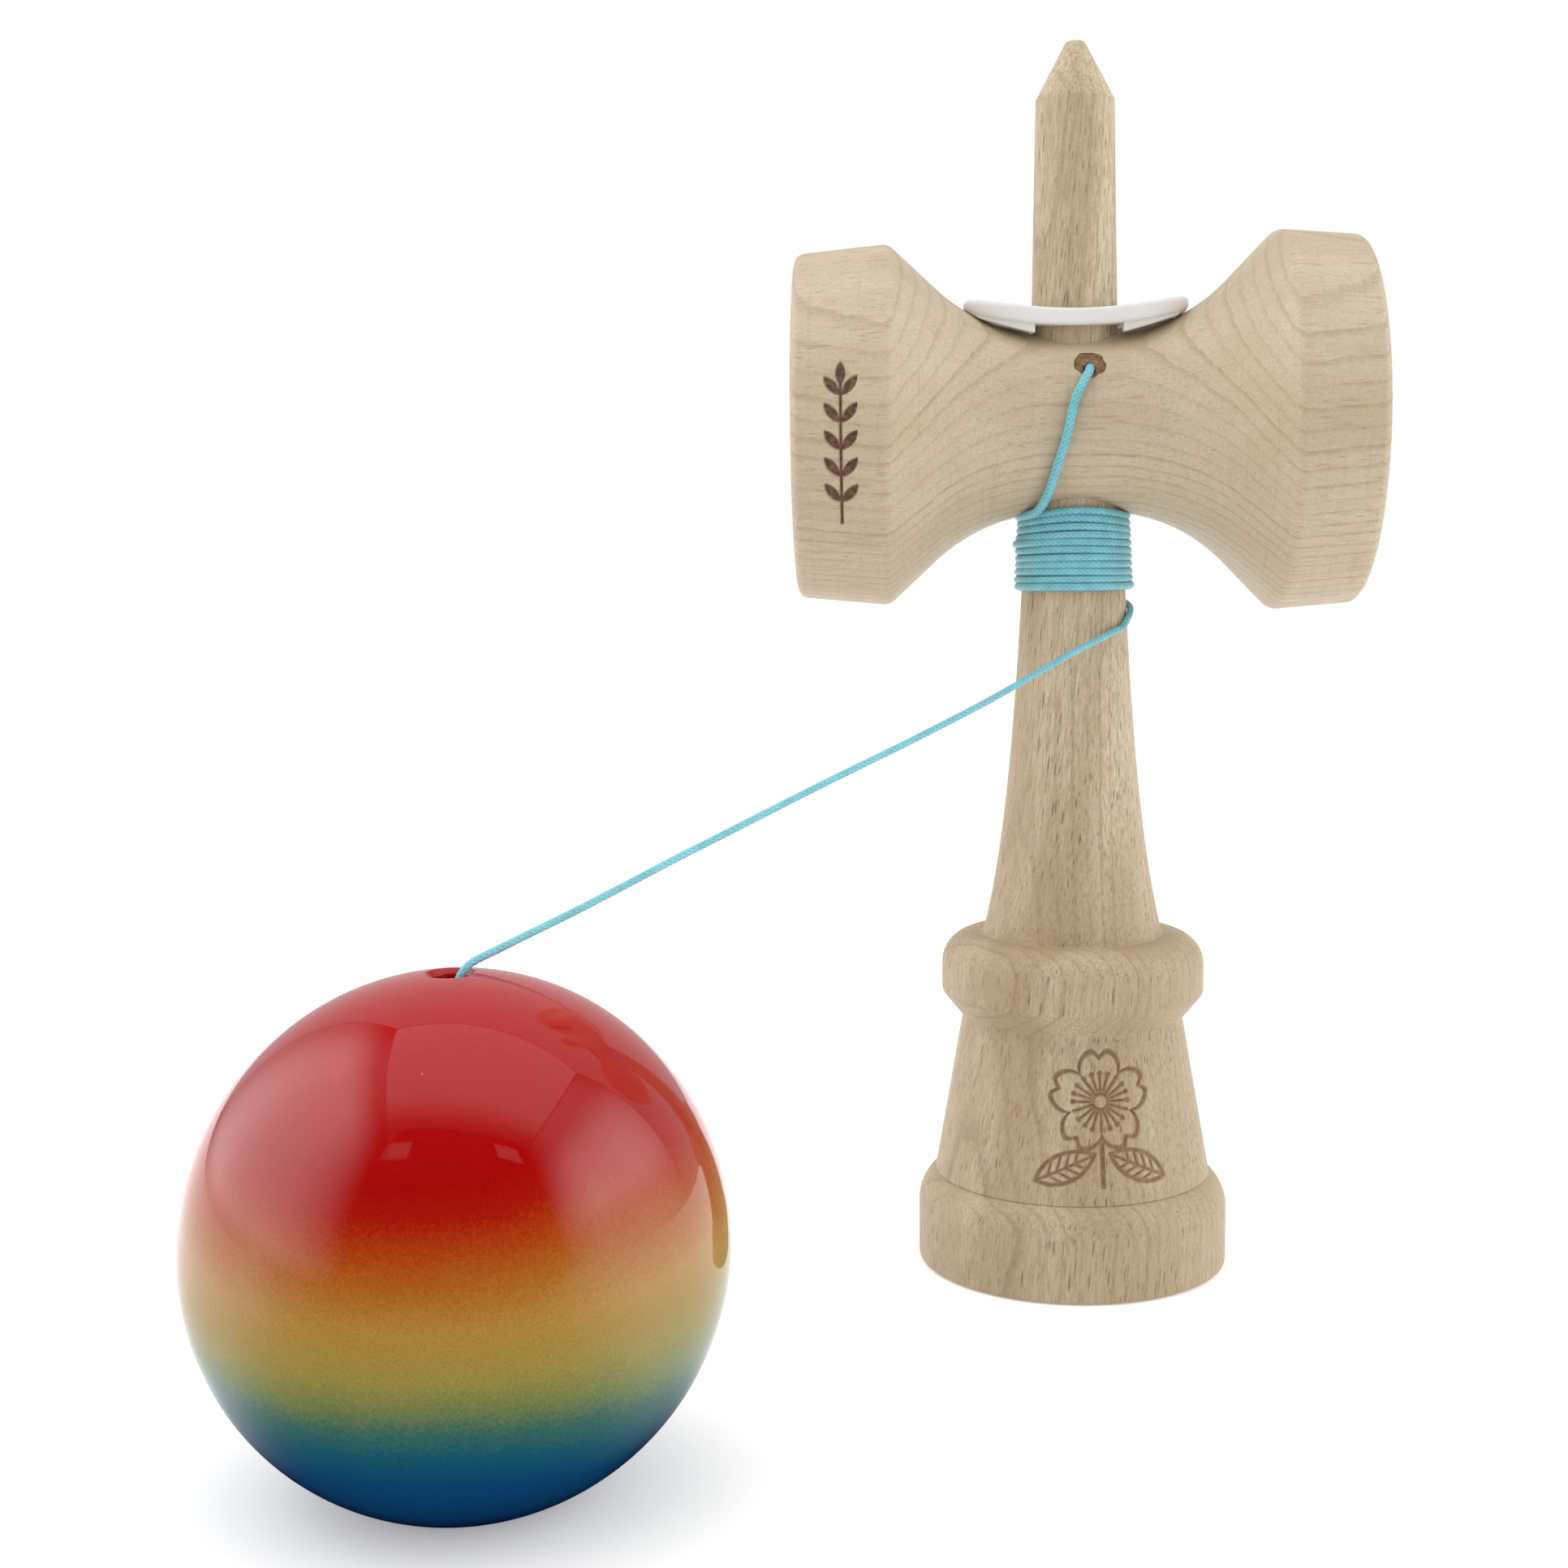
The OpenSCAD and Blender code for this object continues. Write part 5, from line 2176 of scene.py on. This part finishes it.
    def build(self, braid: Material, bead: Piece) -> None:
        """Args:
            braid: The material.
            bead: The bead that the string goes through. It is not used.
        """
        line, firsts = self.centreline()
        _, wound, turn, span, _ = (first * self.step for first in firsts)
        at = (wound - self.ease, wound + self.ease, turn - self.ease, turn + self.ease, span)
        shares = (self.loose_share, self.wound_share, self.wound_share, 1.0, self.taut_share)
        half = np.interp(np.arange(len(line)) * self.step, at, shares) * self.diameter / 2
        made: dict[Stretch, Piece] = {}
        for stretch, first, last in zip(Stretch, firsts, firsts[1:]):
            part = slice(first, last + 1)
            made[stretch] = self.lay_tube(stretch.value, line[part], half[part], braid, first * self.step)
        knot = self.knot("knot_under_bead", (*self.ball.middle[:2], self.bead_knot_z), Axis.UPRIGHT, braid)
        stop = self.knot("knot_in_cups", self.cups_knot, Axis.ACROSS, braid)
        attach(knot, "string_span")
        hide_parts("bead_knot")
        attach(stop, "cross_cups")
        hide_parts("stopper_knot")
        self.hang(made)
        for stretch, first, last in zip(Stretch, firsts, firsts[1:]):
            path = line[first : last + 1]
            if stretch is Stretch.LEAD:
                path = path[::-1]

    def hang(self, made: dict[Stretch, Piece]) -> None:
        """Fixes the lead, the turn and the span where they lie, and sets the winding on the ken's body.

        Args:
            made: The stretches.
        """
        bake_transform(made[Stretch.LEAD])
        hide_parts("string_lead")
        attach(made[Stretch.WINDING], "ken")
        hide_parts("string_winding")
        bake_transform(made[Stretch.TURN])
        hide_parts("string_turn", "string_link")
        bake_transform(made[Stretch.SPAN])
        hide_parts("string_span")


HANDLE_BEECH = BeechFinish(
    name="handle_beech",
    axis=Axis.UPRIGHT,
    light="#d8caac",
    warm="#b9a585",
    line="#95795a",
    fibre="#a98e69",
    fleck="#876848",
    streak="#846544",
    pith=(49.0, 37.0, 0.0),
    ring_spacing=1.6,
    wander=4.0,
    lean=0.1,
    # warmer towards the base, lighter towards the spike
    fall=(10.0, 150.0, 0.45, -0.35),
    fleck_size=(0.38, 0.38, 3.4),
    streak_size=(0.52, 0.52, 5.2),
    fibre_size=(0.26, 0.26, 3.4),
    fibre_share=0.65,
    streak_share=0.9,
    turning_share=0.06,
    burn_share=0.85,
    char="#76522f",
    toast="#967048",
)
CUPS_BEECH = BeechFinish(
    name="cups_beech",
    axis=Axis.ACROSS,
    light="#d0c1a7",
    warm="#c7b496",
    line="#a28663",
    fibre="#bda585",
    fleck="#8b6e52",
    streak="#96795b",
    middle=(0.0, 0.0, Cups.axis_z),
    pith=(34.0, -50.0, 0.0),
    ring_spacing=1.7,
    wander=2.2,
    fleck_size=(0.3, 0.3, 4.5),
    streak_size=(0.9, 0.9, 9.0),
    fibre_size=(0.34, 0.34, 4.5),
    fibre_share=0.34,
    fleck_share=0.5,
    streak_share=0.3,
    turning_share=0.16,
    burn_share=0.95,
    char="#4a2819",
    toast="#7c4f35",
)
DRILLED_BEECH = BeechFinish(
    name="drilled_beech",
    axis=Axis.ACROSS,
    light="#c09a70",
    warm="#a37d55",
    line="#7c5c3c",
    fibre="#77552f",
    fleck="#54381f",
    streak="#4c321c",
    fleck_size=(0.5, 0.5, 1.2),
    streak_size=(0.7, 0.7, 1.4),
    fibre_size=(0.4, 0.4, 1.0),
    fibre_share=0.7,
    grit=0.2,
    bump=0.9,
    roughness=0.8,
)
BARE_BALL_BEECH = BeechFinish(
    name="bare_ball_beech",
    axis=Axis.UPRIGHT,
    light="#c9ad84",
    warm="#b59468",
    line="#92714a",
    fibre="#99794f",
    fleck="#6b4d30",
    streak="#6b4d30",
    bump=0.6,
    roughness=0.75,
)
BEAD_BEECH = BeechFinish(
    name="bead_beech",
    axis=Axis.UPRIGHT,
    light="#c29a66",
    warm="#a97c48",
    line="#7f5a31",
    fibre="#8a6439",
    fleck="#5c3f21",
    streak="#5c3f21",
    ring_spacing=1.1,
    fleck_size=(0.3, 0.3, 1.6),
    fibre_size=(0.2, 0.2, 3.0),
    roughness=0.4,
)
BALL_LACQUER = LacquerFinish(
    name="ball_lacquer",
    middle=Ball.middle,
    radius=Ball.radius,
    stops=(
        (-28.0, "#0a3d76"),
        (-17.5, "#0c4876"),
        (-13.5, "#16596e"),
        (-10.5, "#3b6a5d"),
        (-8.0, "#6f7d4d"),
        (-4.5, "#998943"),
        (0.5, "#ac823a"),
        (4.5, "#a96220"),
        (8.0, "#a83e12"),
        (11.0, "#a3180a"),
        (14.0, "#a00a08"),
        (28.0, "#b01014"),
    ),
)
# the deep colour is painted shade in the braid's hollows
AQUA_BRAID = BraidFinish(name="string_braid", light="#8cd6e3", deep="#4aa9c0")
WHITE_PLASTIC = PlasticFinish(name="clip_plastic", tone="#ecebea", shade="#e3e2e0")


def main() -> None:
    """Builds the camera, the string and the other pieces, and the studio round them."""
    logging.basicConfig(level=logging.INFO, format="%(message)s")
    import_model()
    View().build()
    effects = Effects()
    ken = Ken()
    ball = Ball()
    bead = ball.build_bead(BEAD_BEECH.material(effects))
    StringLine(ken, ball).build(AQUA_BRAID.material(), bead)
    ken.build(HANDLE_BEECH.material(effects))
    cups = Cups(ken)
    cups.build(CUPS_BEECH.material(effects), DRILLED_BEECH.material(effects))
    ball.build(BALL_LACQUER.material(effects), BARE_BALL_BEECH.material(effects))
    Clip(cups).build(WHITE_PLASTIC.material(effects))
    Studio().build()


if __name__ == "__main__":
    main()
